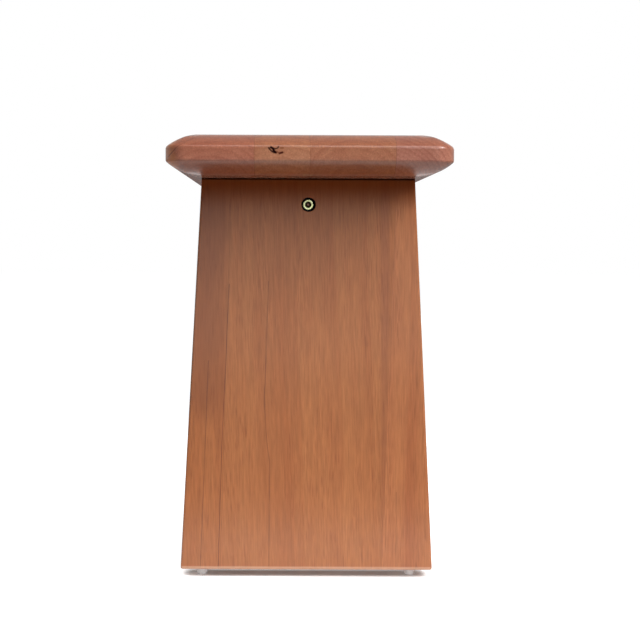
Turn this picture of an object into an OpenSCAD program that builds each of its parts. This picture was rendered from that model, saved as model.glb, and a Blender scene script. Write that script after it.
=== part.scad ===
// Dining bench: a glued hardwood seat with shaped edges on two tapered slab legs,
// tied together by one rail under the seat. Millimetres. +Z is up, +X runs along the seat.
// The origin is on the floor under the middle of the bench.

/* [Seat] */
// Length of the seat
seat_l = 1100; // [700:10:1600]
// Width of the seat
seat_w = 280; // [250:1:400]
// Thickness of the seat
seat_t = 40; // [34:0.5:50]
// Height of the upright band round the edge, between the two shaped faces
edge_face_h = 14; // [6:0.5:20]
// Width in plan of the shaped faces above and below that band
edge_w = 30; // [22:0.5:45]
// How far a shaped face bulges out of a flat bevel
edge_crown = 1.6; // [0.4:0.1:3]
// Radius of the seat's corners in plan
corner_r = 20; // [6:0.5:21]
// Width of the inner stave in front of the middle glue line
front_stave_w = 53.5; // [40:0.5:60]
// Width of the inner stave behind the middle glue line
back_stave_w = 82.5; // [75:0.5:90]

/* [Legs] */
// Height of a leg
leg_h = 405; // [340:1:460]
// Width of a leg at the seat
leg_top_w = 218; // [190:1:240]
// Width of a leg at the floor
leg_foot_w = 262; // [230:1:300]
// Thickness of a leg
leg_t = 36; // [30:0.5:50]
// From the end of the seat to the outer face of the leg
leg_setback = 80; // [50:1:160]
// Width of the leg's middle board
leg_board_w = 168; // [155:1:176]
// Lean of the leg's glue lines, in degrees
leg_board_lean = 1.6; // [0:0.1:2.5]

/* [Rail] */
// Depth of the rail under the seat
rail_h = 60; // [54:1:90]
// Thickness of the rail
rail_w = 32; // [30:1:45]
// Bevel on the rail's lower arrises
rail_bevel = 3; // [1:0.5:4]

/* [Leg bolts] */
// Diameter of the bolt's shank
bolt_d = 6; // [5:0.5:8]
// From the seat's underside down to the bolt
bolt_drop = 26.5; // [24:0.5:32]
// Diameter of the bolt's head
bolt_head_d = 11.2; // [10:0.1:12]
// Height of the bolt's head
bolt_head_h = 6; // [4:0.5:7]
// Hex socket in the head, across its flats
socket_flats = 5; // [4:0.5:5]
// Depth of the hex socket
socket_depth = 3.6; // [2:0.1:3.8]
// Bevel round the mouth of the socket
socket_bevel = 0.5; // [0.1:0.1:0.6]
// Diameter of the recess for the head
bolt_recess_d = 13.8; // [13.2:0.1:18]
// Depth of that recess
bolt_recess_depth = 10; // [8:0.5:14]
// Diameter of the washer under the head
washer_d = 13; // [12.2:0.1:13.2]
// Thickness of that washer
washer_t = 1.5; // [1:0.1:2]
// Difference in diameter between the shank and its holes
bolt_clear = 0.6; // [0.3:0.1:1]

/* [Barrel nuts] */
// Diameter of the barrel nut
nut_d = 10; // [9:0.5:12]
// Length of the barrel nut
nut_l = 20; // [16:1:24]
// From the end of the rail to the middle of the nut
nut_inset = 32; // [28:1:45]
// How far the bolt reaches past the nut
bolt_past_nut = 3; // [1:0.5:6]
// Difference in diameter between the nut and its hole
nut_clear = 0.4; // [0.2:0.1:0.8]
// Difference in diameter between the bolt and the nut's cross hole
thread_clear = 0.1; // [0.05:0.05:0.3]

/* [Dowels] */
// Diameter of the dowels between leg and rail
rail_dowel_d = 8; // [6:0.5:9]
// Length of those dowels
rail_dowel_l = 40; // [34:1:44]
// How deep they stand in the leg
rail_dowel_in_leg = 18; // [14:1:22]
// Upright distance from the bolt to each of them
rail_dowel_gap = 17; // [14:0.5:18]
// Diameter of the dowels between leg and seat
seat_dowel_d = 10; // [8:0.5:12]
// Length of those dowels
seat_dowel_l = 50; // [40:1:60]
// How deep they stand in the seat
seat_dowel_in_seat = 22; // [16:1:26]
// Distance between the two dowels of a leg
seat_dowel_spacing = 132; // [124:1:138]
// Difference in diameter between a dowel and its hole
dowel_clear = 0.2; // [0.1:0.05:0.4]
// Spare depth at each end of a dowel's hole
dowel_end_gap = 1; // [0.5:0.5:3]
// Bevel at each end of a dowel
dowel_bevel = 1; // [0.5:0.5:1.5]

/* [Seat screws] */
// Number of screws up through the rail
screw_count = 4; // [2:1:6]
// From the end of the rail to the first screw
screw_inset = 90; // [80:5:140]
// How far the screws stand to either side of the rail's middle
screw_stagger = 7; // [5:0.5:8]
// Diameter of the screw
screw_d = 5; // [4:0.5:6]
// Length of the screw under its head
screw_l = 50; // [40:1:55]
// How deep the screw stands in the seat
screw_bite = 24; // [18:1:28]
// Diameter of the screw's head
screw_head_d = 9.5; // [8:0.5:10]
// Height of the screw's head
screw_head_h = 3.5; // [2.5:0.5:5]
// Bevel round the screw's head
screw_head_bevel = 1; // [0.5:0.1:1.5]
// Length of the screw's point
screw_point_l = 6; // [3:0.5:8]
// Difference in diameter between the screw and its holes
screw_clear = 0.2; // [0.1:0.1:0.6]
// Difference in diameter between the screw's head and the recess in the rail
screw_head_clear = 1.5; // [1:0.5:2]

/* [Glides] */
// Height of a glide
glide_h = 8; // [5:0.5:12]
// Diameter of a glide against the leg
glide_top_d = 14.4; // [12:0.1:18]
// Diameter of a glide on the floor
glide_foot_d = 10; // [8:0.1:11.5]
// From the foot corner of the leg to the middle of the glide
glide_inset = 22; // [16:0.5:30]
// Height of the straight rim at the top of a glide
glide_rim_h = 2; // [1:0.5:3]
// Diameter of the nail through a glide
nail_d = 2.4; // [2:0.1:3]
// How deep the nail stands in the leg
nail_in_leg = 16; // [12:1:25]
// Diameter of the nail's head
nail_head_d = 5; // [4:0.5:5.5]
// Height of the nail's head
nail_head_h = 1; // [0.8:0.1:1.5]
// Thickness of plastic that the nail's head pulls against
nail_seat_h = 4.5; // [2:0.5:4.5]
// Difference in diameter between the nail and its hole
nail_clear = 0.1; // [0.05:0.05:0.3]
// Difference in diameter between the nail's head and its recess
nail_head_clear = 0.6; // [0.2:0.1:1]

/* [Hidden] */
$fn = 64;

// How far a cutting shape runs past the surface that it cuts
cut_over = 1;

// Heights of the pieces above the floor
leg_foot_z = glide_h;
seat_under_z = leg_foot_z + leg_h;
seat_mid_z = seat_under_z + seat_t / 2;

// Across the bench, the right leg's outer and inner faces
leg_out_x = seat_l / 2 - leg_setback;
leg_in_x = leg_out_x - leg_t;
rail_l = 2 * leg_in_x;

// The arc of a shaped face: its drop, chord, radius and centre,
// counted inwards from the edge and upwards from the upright band
edge_drop = (seat_t - edge_face_h) / 2;
edge_chord = sqrt(edge_w * edge_w + edge_drop * edge_drop);
edge_arc_r = edge_chord * edge_chord / (8 * edge_crown) + edge_crown / 2;
edge_arc_in = edge_w / 2 + (edge_arc_r - edge_crown) * edge_drop / edge_chord;
edge_arc_up = edge_drop / 2 - (edge_arc_r - edge_crown) * edge_w / edge_chord;

// Edges and glue lines of the seat, from front to back: the outer staves take what the inner two leave
stave_edges = [-seat_w / 2, -front_stave_w, 0, back_stave_w, seat_w / 2];

// The bolt's line and the planes along it, counted outwards from the middle of the bench
bolt_z = seat_under_z - bolt_drop;
recess_floor_x = leg_out_x - bolt_recess_depth;
head_seat_x = recess_floor_x + washer_t;
nut_x = leg_in_x - nut_inset;
bolt_end_x = nut_x - nut_d / 2 - bolt_past_nut;

// Screws: the recess in the rail, and the places along it
screw_recess = rail_h - (screw_l - screw_bite);
screw_step = (rail_l - 2 * screw_inset) / (screw_count - 1);
function screw_x(i) = -rail_l / 2 + screw_inset + i * screw_step;
function screw_y(i) = (i % 2 == 0 ? 1 : -1) * screw_stagger;

glide_x = leg_out_x - leg_t / 2;
glide_y = leg_foot_w / 2 - glide_inset;

seat_colour = [0.60, 0.36, 0.27];
leg_colour = [0.69, 0.43, 0.30];
rail_colour = [0.55, 0.34, 0.24];
dowel_colour = [0.84, 0.72, 0.54];
bolt_colour = [0.80, 0.72, 0.42];
steel_colour = [0.62, 0.62, 0.64];
washer_colour = [0.16, 0.15, 0.14];
glide_colour = [0.90, 0.90, 0.90];

// Puts its children at the right end of the bench and again, turned about, at the left end
module both_ends() {
    for (turn = [0, 180]) rotate([0, 0, turn]) children();
}

// A cylinder lying along X, from x_low to x_high
module bar_x(x_low, x_high, d) {
    translate([x_low, 0, 0]) rotate([0, 90, 0]) cylinder(h = x_high - x_low, d = d);
}

// Outline of the seat cut across, for a seat of the given width, centred on its thickness
module edge_section(width) {
    difference() {
        square([width, seat_t], center = true);
        for (side = [0, 1], face = [0, 1])
            mirror([side, 0]) mirror([0, face]) difference() {
                translate([width / 2 - edge_w, edge_face_h / 2])
                    square([edge_w + cut_over, edge_drop + cut_over]);
                translate([width / 2 - edge_arc_in, edge_face_h / 2 + edge_arc_up])
                    circle(r = edge_arc_r, $fn = 180);
            }
    }
}

// The shaped corner of the seat: the edge's outline turned about the corner's centre
module corner_round() {
    rotate_extrude() intersection() {
        translate([corner_r - seat_w / 2, 0]) edge_section(seat_w);
        translate([0, -seat_t / 2]) square([corner_r, seat_t]);
    }
}

// The whole seat, before it is parted into staves: shaped alike on all four edges
module seat_blank() {
    translate([0, 0, seat_mid_z]) difference() {
        intersection() {
            rotate([90, 0, 90]) linear_extrude(seat_l, center = true) edge_section(seat_w);
            rotate([90, 0, 0]) linear_extrude(seat_w, center = true) edge_section(seat_l);
        }
        for (sx = [0, 1], sy = [0, 1])
            mirror([sx, 0, 0]) mirror([0, sy, 0])
                translate([seat_l / 2 - corner_r, seat_w / 2 - corner_r, 0]) difference() {
                    translate([0, 0, -seat_t / 2 - cut_over])
                        cube([corner_r + cut_over, corner_r + cut_over, seat_t + 2 * cut_over]);
                    corner_round();
                }
    }
}

// Holes up into the seat for the dowels of both legs and for the rail's screws
module seat_holes() {
    both_ends() for (sy = [-1, 1])
        translate([glide_x, sy * seat_dowel_spacing / 2, seat_under_z - cut_over])
            cylinder(h = seat_dowel_in_seat + dowel_end_gap + cut_over, d = seat_dowel_d + dowel_clear);
    for (i = [0 : screw_count - 1])
        translate([screw_x(i), screw_y(i), seat_under_z - cut_over])
            cylinder(h = screw_bite + dowel_end_gap + cut_over, d = screw_d + screw_clear);
}

// One stave of the seat, counted from 0 at the front
module seat_stave(i) {
    color(seat_colour) difference() {
        intersection() {
            seat_blank();
            translate([-seat_l / 2, stave_edges[i], seat_under_z])
                cube([seat_l, stave_edges[i + 1] - stave_edges[i], seat_t]);
        }
        seat_holes();
    }
}

// The right leg's whole slab
module leg_blank() {
    translate([leg_in_x, 0, leg_foot_z]) rotate([90, 0, 90]) linear_extrude(leg_t) polygon([
        [-leg_foot_w / 2, 0], [leg_foot_w / 2, 0], [leg_top_w / 2, leg_h], [-leg_top_w / 2, leg_h]
    ]);
}

// Everything drilled into the right leg
module leg_holes() {
    translate([0, 0, bolt_z]) {
        bar_x(leg_in_x - cut_over, leg_out_x, bolt_d + bolt_clear);
        bar_x(recess_floor_x, leg_out_x + cut_over, bolt_recess_d);
        for (sz = [-1, 1]) translate([0, 0, sz * rail_dowel_gap])
            bar_x(leg_in_x - cut_over, leg_in_x + rail_dowel_in_leg + dowel_end_gap,
                rail_dowel_d + dowel_clear);
    }
    for (sy = [-1, 1]) {
        translate([glide_x, sy * seat_dowel_spacing / 2,
                seat_under_z - (seat_dowel_l - seat_dowel_in_seat) - dowel_end_gap])
            cylinder(h = seat_dowel_l, d = seat_dowel_d + dowel_clear);
        translate([glide_x, sy * glide_y, leg_foot_z - cut_over])
            cylinder(h = nail_in_leg + dowel_end_gap + cut_over, d = nail_d + nail_clear, $fn = 32);
    }
}

// One board of the right leg, between two glue lines that lean alike; part is -1, 0 or 1 from the front
module leg_board(part) {
    reach = leg_foot_w + leg_h;
    low = part == 0 ? -leg_board_w / 2 : (part < 0 ? -reach : leg_board_w / 2);
    high = part == 0 ? leg_board_w / 2 : (part < 0 ? -leg_board_w / 2 : reach);
    difference() {
        intersection() {
            leg_blank();
            translate([0, 0, leg_foot_z + leg_h / 2]) rotate([-leg_board_lean, 0, 0])
                translate([leg_in_x - cut_over, low, -reach])
                    cube([leg_t + 2 * cut_over, high - low, 2 * reach]);
        }
        leg_holes();
    }
}

// A board of the right leg (turn 0) or of the left leg (turn 180)
module turned_leg_board(turn, part) {
    color(leg_colour) rotate([0, 0, turn]) leg_board(part);
}

// The rail's outline cut across, with its top face at height 0
module rail_section() {
    polygon([
        [-rail_w / 2, 0], [-rail_w / 2, rail_bevel - rail_h], [rail_bevel - rail_w / 2, -rail_h],
        [rail_w / 2 - rail_bevel, -rail_h], [rail_w / 2, rail_bevel - rail_h], [rail_w / 2, 0]
    ]);
}

// Everything drilled into the right end of the rail
module rail_end_holes() {
    translate([0, 0, bolt_z]) {
        bar_x(bolt_end_x - dowel_end_gap, leg_in_x + cut_over, bolt_d + bolt_clear);
        for (sz = [-1, 1]) translate([0, 0, sz * rail_dowel_gap])
            bar_x(leg_in_x - (rail_dowel_l - rail_dowel_in_leg) - dowel_end_gap, leg_in_x + cut_over,
                rail_dowel_d + dowel_clear);
        translate([nut_x, -nut_l / 2, 0]) rotate([-90, 0, 0])
            cylinder(h = nut_l / 2 + rail_w / 2 + cut_over, d = nut_d + nut_clear);
    }
}

module seat_rail() {
    color(rail_colour) difference() {
        translate([-rail_l / 2, 0, seat_under_z]) rotate([90, 0, 90]) linear_extrude(rail_l) rail_section();
        both_ends() rail_end_holes();
        for (i = [0 : screw_count - 1]) translate([screw_x(i), screw_y(i), 0]) {
            translate([0, 0, seat_under_z - rail_h])
                cylinder(h = rail_h + cut_over, d = screw_d + screw_clear);
            translate([0, 0, seat_under_z - rail_h - cut_over])
                cylinder(h = screw_recess + cut_over, d = screw_head_d + screw_head_clear);
        }
    }
}

// Socket head bolts, one through each leg into the rail
module leg_bolts() {
    socket_mouth = socket_flats / cos(30) + 2 * socket_bevel;
    color(bolt_colour) both_ends() translate([0, 0, bolt_z]) difference() {
        union() {
            bar_x(bolt_end_x, head_seat_x, bolt_d);
            bar_x(head_seat_x, head_seat_x + bolt_head_h, bolt_head_d);
        }
        translate([head_seat_x + bolt_head_h - socket_depth, 0, 0]) rotate([0, 90, 0])
            cylinder(h = socket_depth + cut_over, d = socket_flats / cos(30), $fn = 6);
        translate([head_seat_x + bolt_head_h, 0, 0]) rotate([0, 90, 0])
            translate([0, 0, -socket_bevel]) cylinder(h = 2 * socket_bevel,
                d1 = socket_mouth - 2 * socket_bevel, d2 = socket_mouth + 2 * socket_bevel);
    }
}

module bolt_washers() {
    color(washer_colour) both_ends() translate([0, 0, bolt_z]) difference() {
        bar_x(recess_floor_x, head_seat_x, washer_d);
        bar_x(recess_floor_x - cut_over, head_seat_x + cut_over, bolt_d + bolt_clear);
    }
}

// Cross-drilled barrel nuts in the rail
module barrel_nuts() {
    color(steel_colour) both_ends() translate([nut_x, 0, bolt_z]) difference() {
        rotate([90, 0, 0]) cylinder(h = nut_l, d = nut_d, center = true);
        bar_x(-nut_d, nut_d, bolt_d + thread_clear);
    }
}

// A dowel with bevelled ends, standing on height 0
module dowel(d, l) {
    rotate_extrude() polygon([
        [0, 0], [d / 2 - dowel_bevel, 0], [d / 2, dowel_bevel],
        [d / 2, l - dowel_bevel], [d / 2 - dowel_bevel, l], [0, l]
    ]);
}

module rail_dowels() {
    color(dowel_colour) both_ends() for (sz = [-1, 1])
        translate([leg_in_x + rail_dowel_in_leg - rail_dowel_l, 0, bolt_z + sz * rail_dowel_gap])
            rotate([0, 90, 0]) dowel(rail_dowel_d, rail_dowel_l);
}

module seat_dowels() {
    color(dowel_colour) both_ends() for (sy = [-1, 1])
        translate([glide_x, sy * seat_dowel_spacing / 2, seat_under_z + seat_dowel_in_seat - seat_dowel_l])
            dowel(seat_dowel_d, seat_dowel_l);
}

// Pan head screws that hold the seat down on the rail
module seat_screws() {
    head_z = seat_under_z - rail_h + screw_recess;
    color(steel_colour) for (i = [0 : screw_count - 1])
        translate([screw_x(i), screw_y(i), head_z]) rotate_extrude() polygon([
            [0, -screw_head_h], [screw_head_d / 2 - screw_head_bevel, -screw_head_h],
            [screw_head_d / 2, screw_head_bevel - screw_head_h],
            [screw_head_d / 2, 0], [screw_d / 2, 0], [screw_d / 2, screw_l - screw_point_l], [0, screw_l]
        ]);
}

// Tapered plastic glides, two under each leg
module leg_glides() {
    color(glide_colour) both_ends() for (sy = [-1, 1])
        translate([glide_x, sy * glide_y, 0]) rotate_extrude() polygon([
            [(nail_head_d + nail_head_clear) / 2, 0], [glide_foot_d / 2, 0],
            [glide_top_d / 2, glide_h - glide_rim_h], [glide_top_d / 2, glide_h],
            [(nail_d + nail_clear) / 2, glide_h], [(nail_d + nail_clear) / 2, glide_h - nail_seat_h],
            [(nail_head_d + nail_head_clear) / 2, glide_h - nail_seat_h]
        ]);
}

// Nails that hold the glides on
module glide_nails() {
    head_z = glide_h - nail_seat_h - nail_head_h;
    color(steel_colour) both_ends() for (sy = [-1, 1])
        translate([glide_x, sy * glide_y, head_z]) rotate_extrude($fn = 32) polygon([
            [0, 0], [nail_head_d / 2, 0], [nail_head_d / 2, nail_head_h], [nail_d / 2, nail_head_h],
            [nail_d / 2, glide_h + nail_in_leg - nail_d - head_z], [0, glide_h + nail_in_leg - head_z]
        ]);
}

seat_stave(0);  // seat_stave_1
seat_stave(1);  // seat_stave_2
seat_stave(2);  // seat_stave_3
seat_stave(3);  // seat_stave_4
turned_leg_board(0, -1);  // right_leg_front_board
turned_leg_board(0, 0);  // right_leg_middle_board
turned_leg_board(0, 1);  // right_leg_back_board
turned_leg_board(180, 1);  // left_leg_front_board
turned_leg_board(180, 0);  // left_leg_middle_board
turned_leg_board(180, -1);  // left_leg_back_board
seat_rail();
leg_bolts();
bolt_washers();
barrel_nuts();
rail_dowels();
seat_dowels();
seat_screws();
leg_glides();
glide_nails();
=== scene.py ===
"""Looks of the dining bench: a glued hardwood seat with shaped edges on two tapered slab legs.

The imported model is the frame. Each piece made here stands for the node in the same place, in
metres: +X along the seat, +Y across it, +Z up, with the origin on the floor under the middle.
Wood is a solid pattern in the piece's own coordinates, so that its figure runs on from the long
faces into the end grain, as it does in a real board.
"""

import logging
import math
from dataclasses import dataclass
from enum import Enum
from typing import Iterable, Sequence, Union

import bmesh
import bpy
from mathutils import Matrix, Vector


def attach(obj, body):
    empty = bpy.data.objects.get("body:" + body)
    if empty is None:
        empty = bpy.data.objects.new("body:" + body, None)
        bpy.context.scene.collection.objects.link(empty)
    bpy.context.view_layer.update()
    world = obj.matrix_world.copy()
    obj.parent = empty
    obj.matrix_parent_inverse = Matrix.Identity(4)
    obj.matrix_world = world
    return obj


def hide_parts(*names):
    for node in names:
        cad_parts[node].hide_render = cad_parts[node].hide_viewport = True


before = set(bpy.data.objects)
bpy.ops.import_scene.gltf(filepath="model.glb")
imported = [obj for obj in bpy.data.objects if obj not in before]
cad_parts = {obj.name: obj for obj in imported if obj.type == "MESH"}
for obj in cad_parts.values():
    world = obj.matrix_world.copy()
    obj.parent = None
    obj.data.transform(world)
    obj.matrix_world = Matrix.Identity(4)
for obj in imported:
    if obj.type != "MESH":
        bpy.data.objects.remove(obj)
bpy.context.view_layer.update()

LOG = logging.getLogger("dining_bench")

MM = 0.001
X_AXIS, Z_AXIS = (1.0, 0.0, 0.0), (0.0, 0.0, 1.0)
HALF_TURN = Matrix.Rotation(math.pi, 4, "Z")
LIE_ALONG_X = Matrix.Rotation(math.pi / 2, 4, "Y")
PHOTO_SIDE = 640
SENSOR = 36.0
BODY = "root"
SHARP_ANGLE = math.radians(32)
CUT_OVER = 1 * MM
MERGE_DIST = 1e-6
PLANE_DIST = 1e-7
LEVEL_DIST = 1e-5
MARK_DEPTH = 0.1
METAL_MARKS = 1400.0
PLASTIC_MARKS = 700.0
FINE_BUMP = 0.1 * MM

BMesh = bmesh.types.BMesh
Material, Mesh, Object = bpy.types.Material, bpy.types.Mesh, bpy.types.Object
Node, NodeTree = bpy.types.Node, bpy.types.NodeTree
Socket, Outputs = bpy.types.NodeSocket, bpy.types.NodeOutputs
Colour = tuple[float, float, float]
Point = tuple[float, float, float]
Spot = tuple[float, float]
Value = Union[float, Sequence[float], Socket]


@dataclass(frozen=True)
class Plan:
    """Places and holes that several pieces share. Places along X are those of the right end."""

    seat_under: float = 413 * MM
    leg_middle: float = 452 * MM
    bolt_height: float = 386.5 * MM
    bolt_hole: float = 3.3 * MM
    nut_x: float = 402 * MM
    rail_dowel_gap: float = 17 * MM
    rail_dowel_hole: float = 4.1 * MM
    seat_dowel_y: float = 66 * MM
    seat_dowel_hole: float = 5.1 * MM
    glide_y: float = 109 * MM
    screw_hole: float = 2.6 * MM
    screws: tuple[Spot, ...] = (
        (-344 * MM, 7 * MM), (-344 / 3 * MM, -7 * MM), (344 / 3 * MM, 7 * MM), (344 * MM, -7 * MM),
    )


PLAN = Plan()


def srgb(red: float, green: float, blue: float) -> Colour:
    """Turn a colour written as 0 to 255 into Blender's linear values.

    Args:
        red: Red, 0 to 255.
        green: Green, 0 to 255.
        blue: Blue, 0 to 255.

    Returns:
        The linear red, green and blue.
    """
    parts = [c / 255 for c in (red, green, blue)]
    return tuple(c / 12.92 if c <= 0.04045 else ((c + 0.055) / 1.055) ** 2.4 for c in parts)


PORE = srgb(122, 58, 32)
GLUE = srgb(84, 44, 30)


class GrainWay(Enum):
    """Which way the grain of a piece of wood runs, as the turn about Y that lays it along X."""

    ALONG_SEAT = 0.0
    UPRIGHT = math.pi / 2


@dataclass(frozen=True)
class Noise:
    """A noise: its repeats to the metre along X, Y and Z, its finer layers and their strength."""

    stretch: Point
    layers: float = 2.0
    rough: float = 0.5


class Graph:
    """Adds nodes to one node tree and joins them."""

    def __init__(self, tree: NodeTree) -> None:
        """Keep the tree that the nodes go into, and empty it."""
        tree.nodes.clear()
        self.tree = tree
        self.count = 0

    def add(self, kind: str, **settings: object) -> Node:
        """Add one node.

        Args:
            kind: Blender's name for the node's type.
            **settings: Properties of the node.

        Returns:
            The new node.
        """
        node = self.tree.nodes.new(kind)
        for name, value in settings.items():
            setattr(node, name, value)
        node.location = (180 * (self.count // 6), -160 * (self.count % 6))
        self.count += 1
        return node

    def feed(self, socket: Socket, value: Value) -> None:
        """Join an output to a socket, or write a plain value on it.

        Args:
            socket: The input.
            value: An output socket, or what to write.
        """
        if isinstance(value, Socket):
            self.tree.links.new(value, socket)
        elif socket.type == "RGBA" and not isinstance(value, (int, float)):
            socket.default_value = (*value[:3], 1.0)
        else:
            socket.default_value = value

    def fill(self, node: Node, **values: Value) -> Node:
        """Feed a node's inputs by their names.

        Args:
            node: The node.
            **values: What each input gets, with an underscore for each space in its name.

        Returns:
            The node.
        """
        for name, value in values.items():
            self.feed(node.inputs[name.replace("_", " ")], value)
        return node

    def math(self, operation: str, *values: Value, clamp: bool = False) -> Socket:
        """Add a Math node.

        Args:
            operation: What it does, in Blender's name.
            *values: Its one, two or three inputs.
            clamp: Whether its result stays within 0 and 1.

        Returns:
            Its result.
        """
        node = self.add("ShaderNodeMath", operation=operation, use_clamp=clamp)
        for socket, value in zip(node.inputs, values):
            self.feed(socket, value)
        return node.outputs[0]

    def vector(self, operation: str, *values: Value) -> Socket:
        """Add a Vector Math node.

        Args:
            operation: What it does, in Blender's name.
            *values: Its inputs; a SCALE's second value is the factor.

        Returns:
            The vector, or the number where the operation gives one.
        """
        node = self.add("ShaderNodeVectorMath", operation=operation)
        places = (0, "Scale") if operation == "SCALE" else (0, 1)
        for place, value in zip(places, values):
            self.feed(node.inputs[place], value)
        return node.outputs["Value" if operation in ("LENGTH", "DOT_PRODUCT") else "Vector"]

    def mix(self, share: Value, first: Value, second: Value) -> Socket:
        """Mix two colours.

        Args:
            share: How much of the second, 0 to 1.
            first: The first colour.
            second: The second colour.

        Returns:
            The mixed colour.
        """
        node = self.add("ShaderNodeMix", data_type="RGBA", clamp_factor=True)
        for place, value in ((0, share), (6, first), (7, second)):
            self.feed(node.inputs[place], value)
        return node.outputs[2]

    def smooth(
        self, value: Value, low: Value, high: Value, start: Value = 0.0, end: Value = 1.0,
    ) -> Socket:
        """Go smoothly from one number to another as a value rises.

        Args:
            value: The value.
            low: Where the change starts.
            high: Where it ends.
            start: The result below low.
            end: The result above high.

        Returns:
            The result.
        """
        node = self.add("ShaderNodeMapRange", interpolation_type="SMOOTHSTEP")
        for socket, part in zip(node.inputs, (value, low, high, start, end)):
            self.feed(socket, part)
        return node.outputs[0]

    def noise(self, place: Value, noise: Noise, output: str = "Fac") -> Socket:
        """Add a noise with its own scale along each axis.

        Args:
            place: The coordinates.
            noise: The noise.
            output: Fac for a number, or Color for three.

        Returns:
            The noise.
        """
        node = self.add("ShaderNodeTexNoise", noise_dimensions="3D")
        spot = self.vector("MULTIPLY", place, noise.stretch)
        self.fill(node, Vector=spot, Scale=1.0, Detail=noise.layers, Roughness=noise.rough)
        return node.outputs[output]

    def shaken(self, place: Value, noise: Noise, reach: Value) -> Socket:
        """Move coordinates about by a noise, as far as a reach."""
        drift = self.vector("SUBTRACT", self.noise(place, noise, "Color"), (0.5, 0.5, 0.5))
        return self.vector("ADD", place, self.vector("SCALE", drift, reach))

    def group(self, tree: NodeTree, **values: Value) -> Node:
        """Place a node group and feed its inputs."""
        return self.fill(self.add("ShaderNodeGroup", node_tree=tree), **values)

    def surface(
        self, colour: Value, rough: Value, height: Value, relief: float, depth: float,
        **others: Value,
    ) -> None:
        """Close a material with a Principled shader over a bump.

        Args:
            colour: Its base colour.
            rough: Its roughness.
            height: The height that the bump reads.
            relief: The bump's strength.
            depth: The bump's distance.
            **others: The shader's other inputs, with an underscore for each space.
        """
        bump = self.fill(self.add("ShaderNodeBump"), Strength=relief, Distance=depth, Height=height)
        shader = self.fill(
            self.add("ShaderNodeBsdfPrincipled"), Base_Color=colour, Roughness=rough,
            Normal=bump.outputs["Normal"], **others,
        )
        self.fill(self.add("ShaderNodeOutputMaterial"), Surface=shader.outputs["BSDF"])


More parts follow.
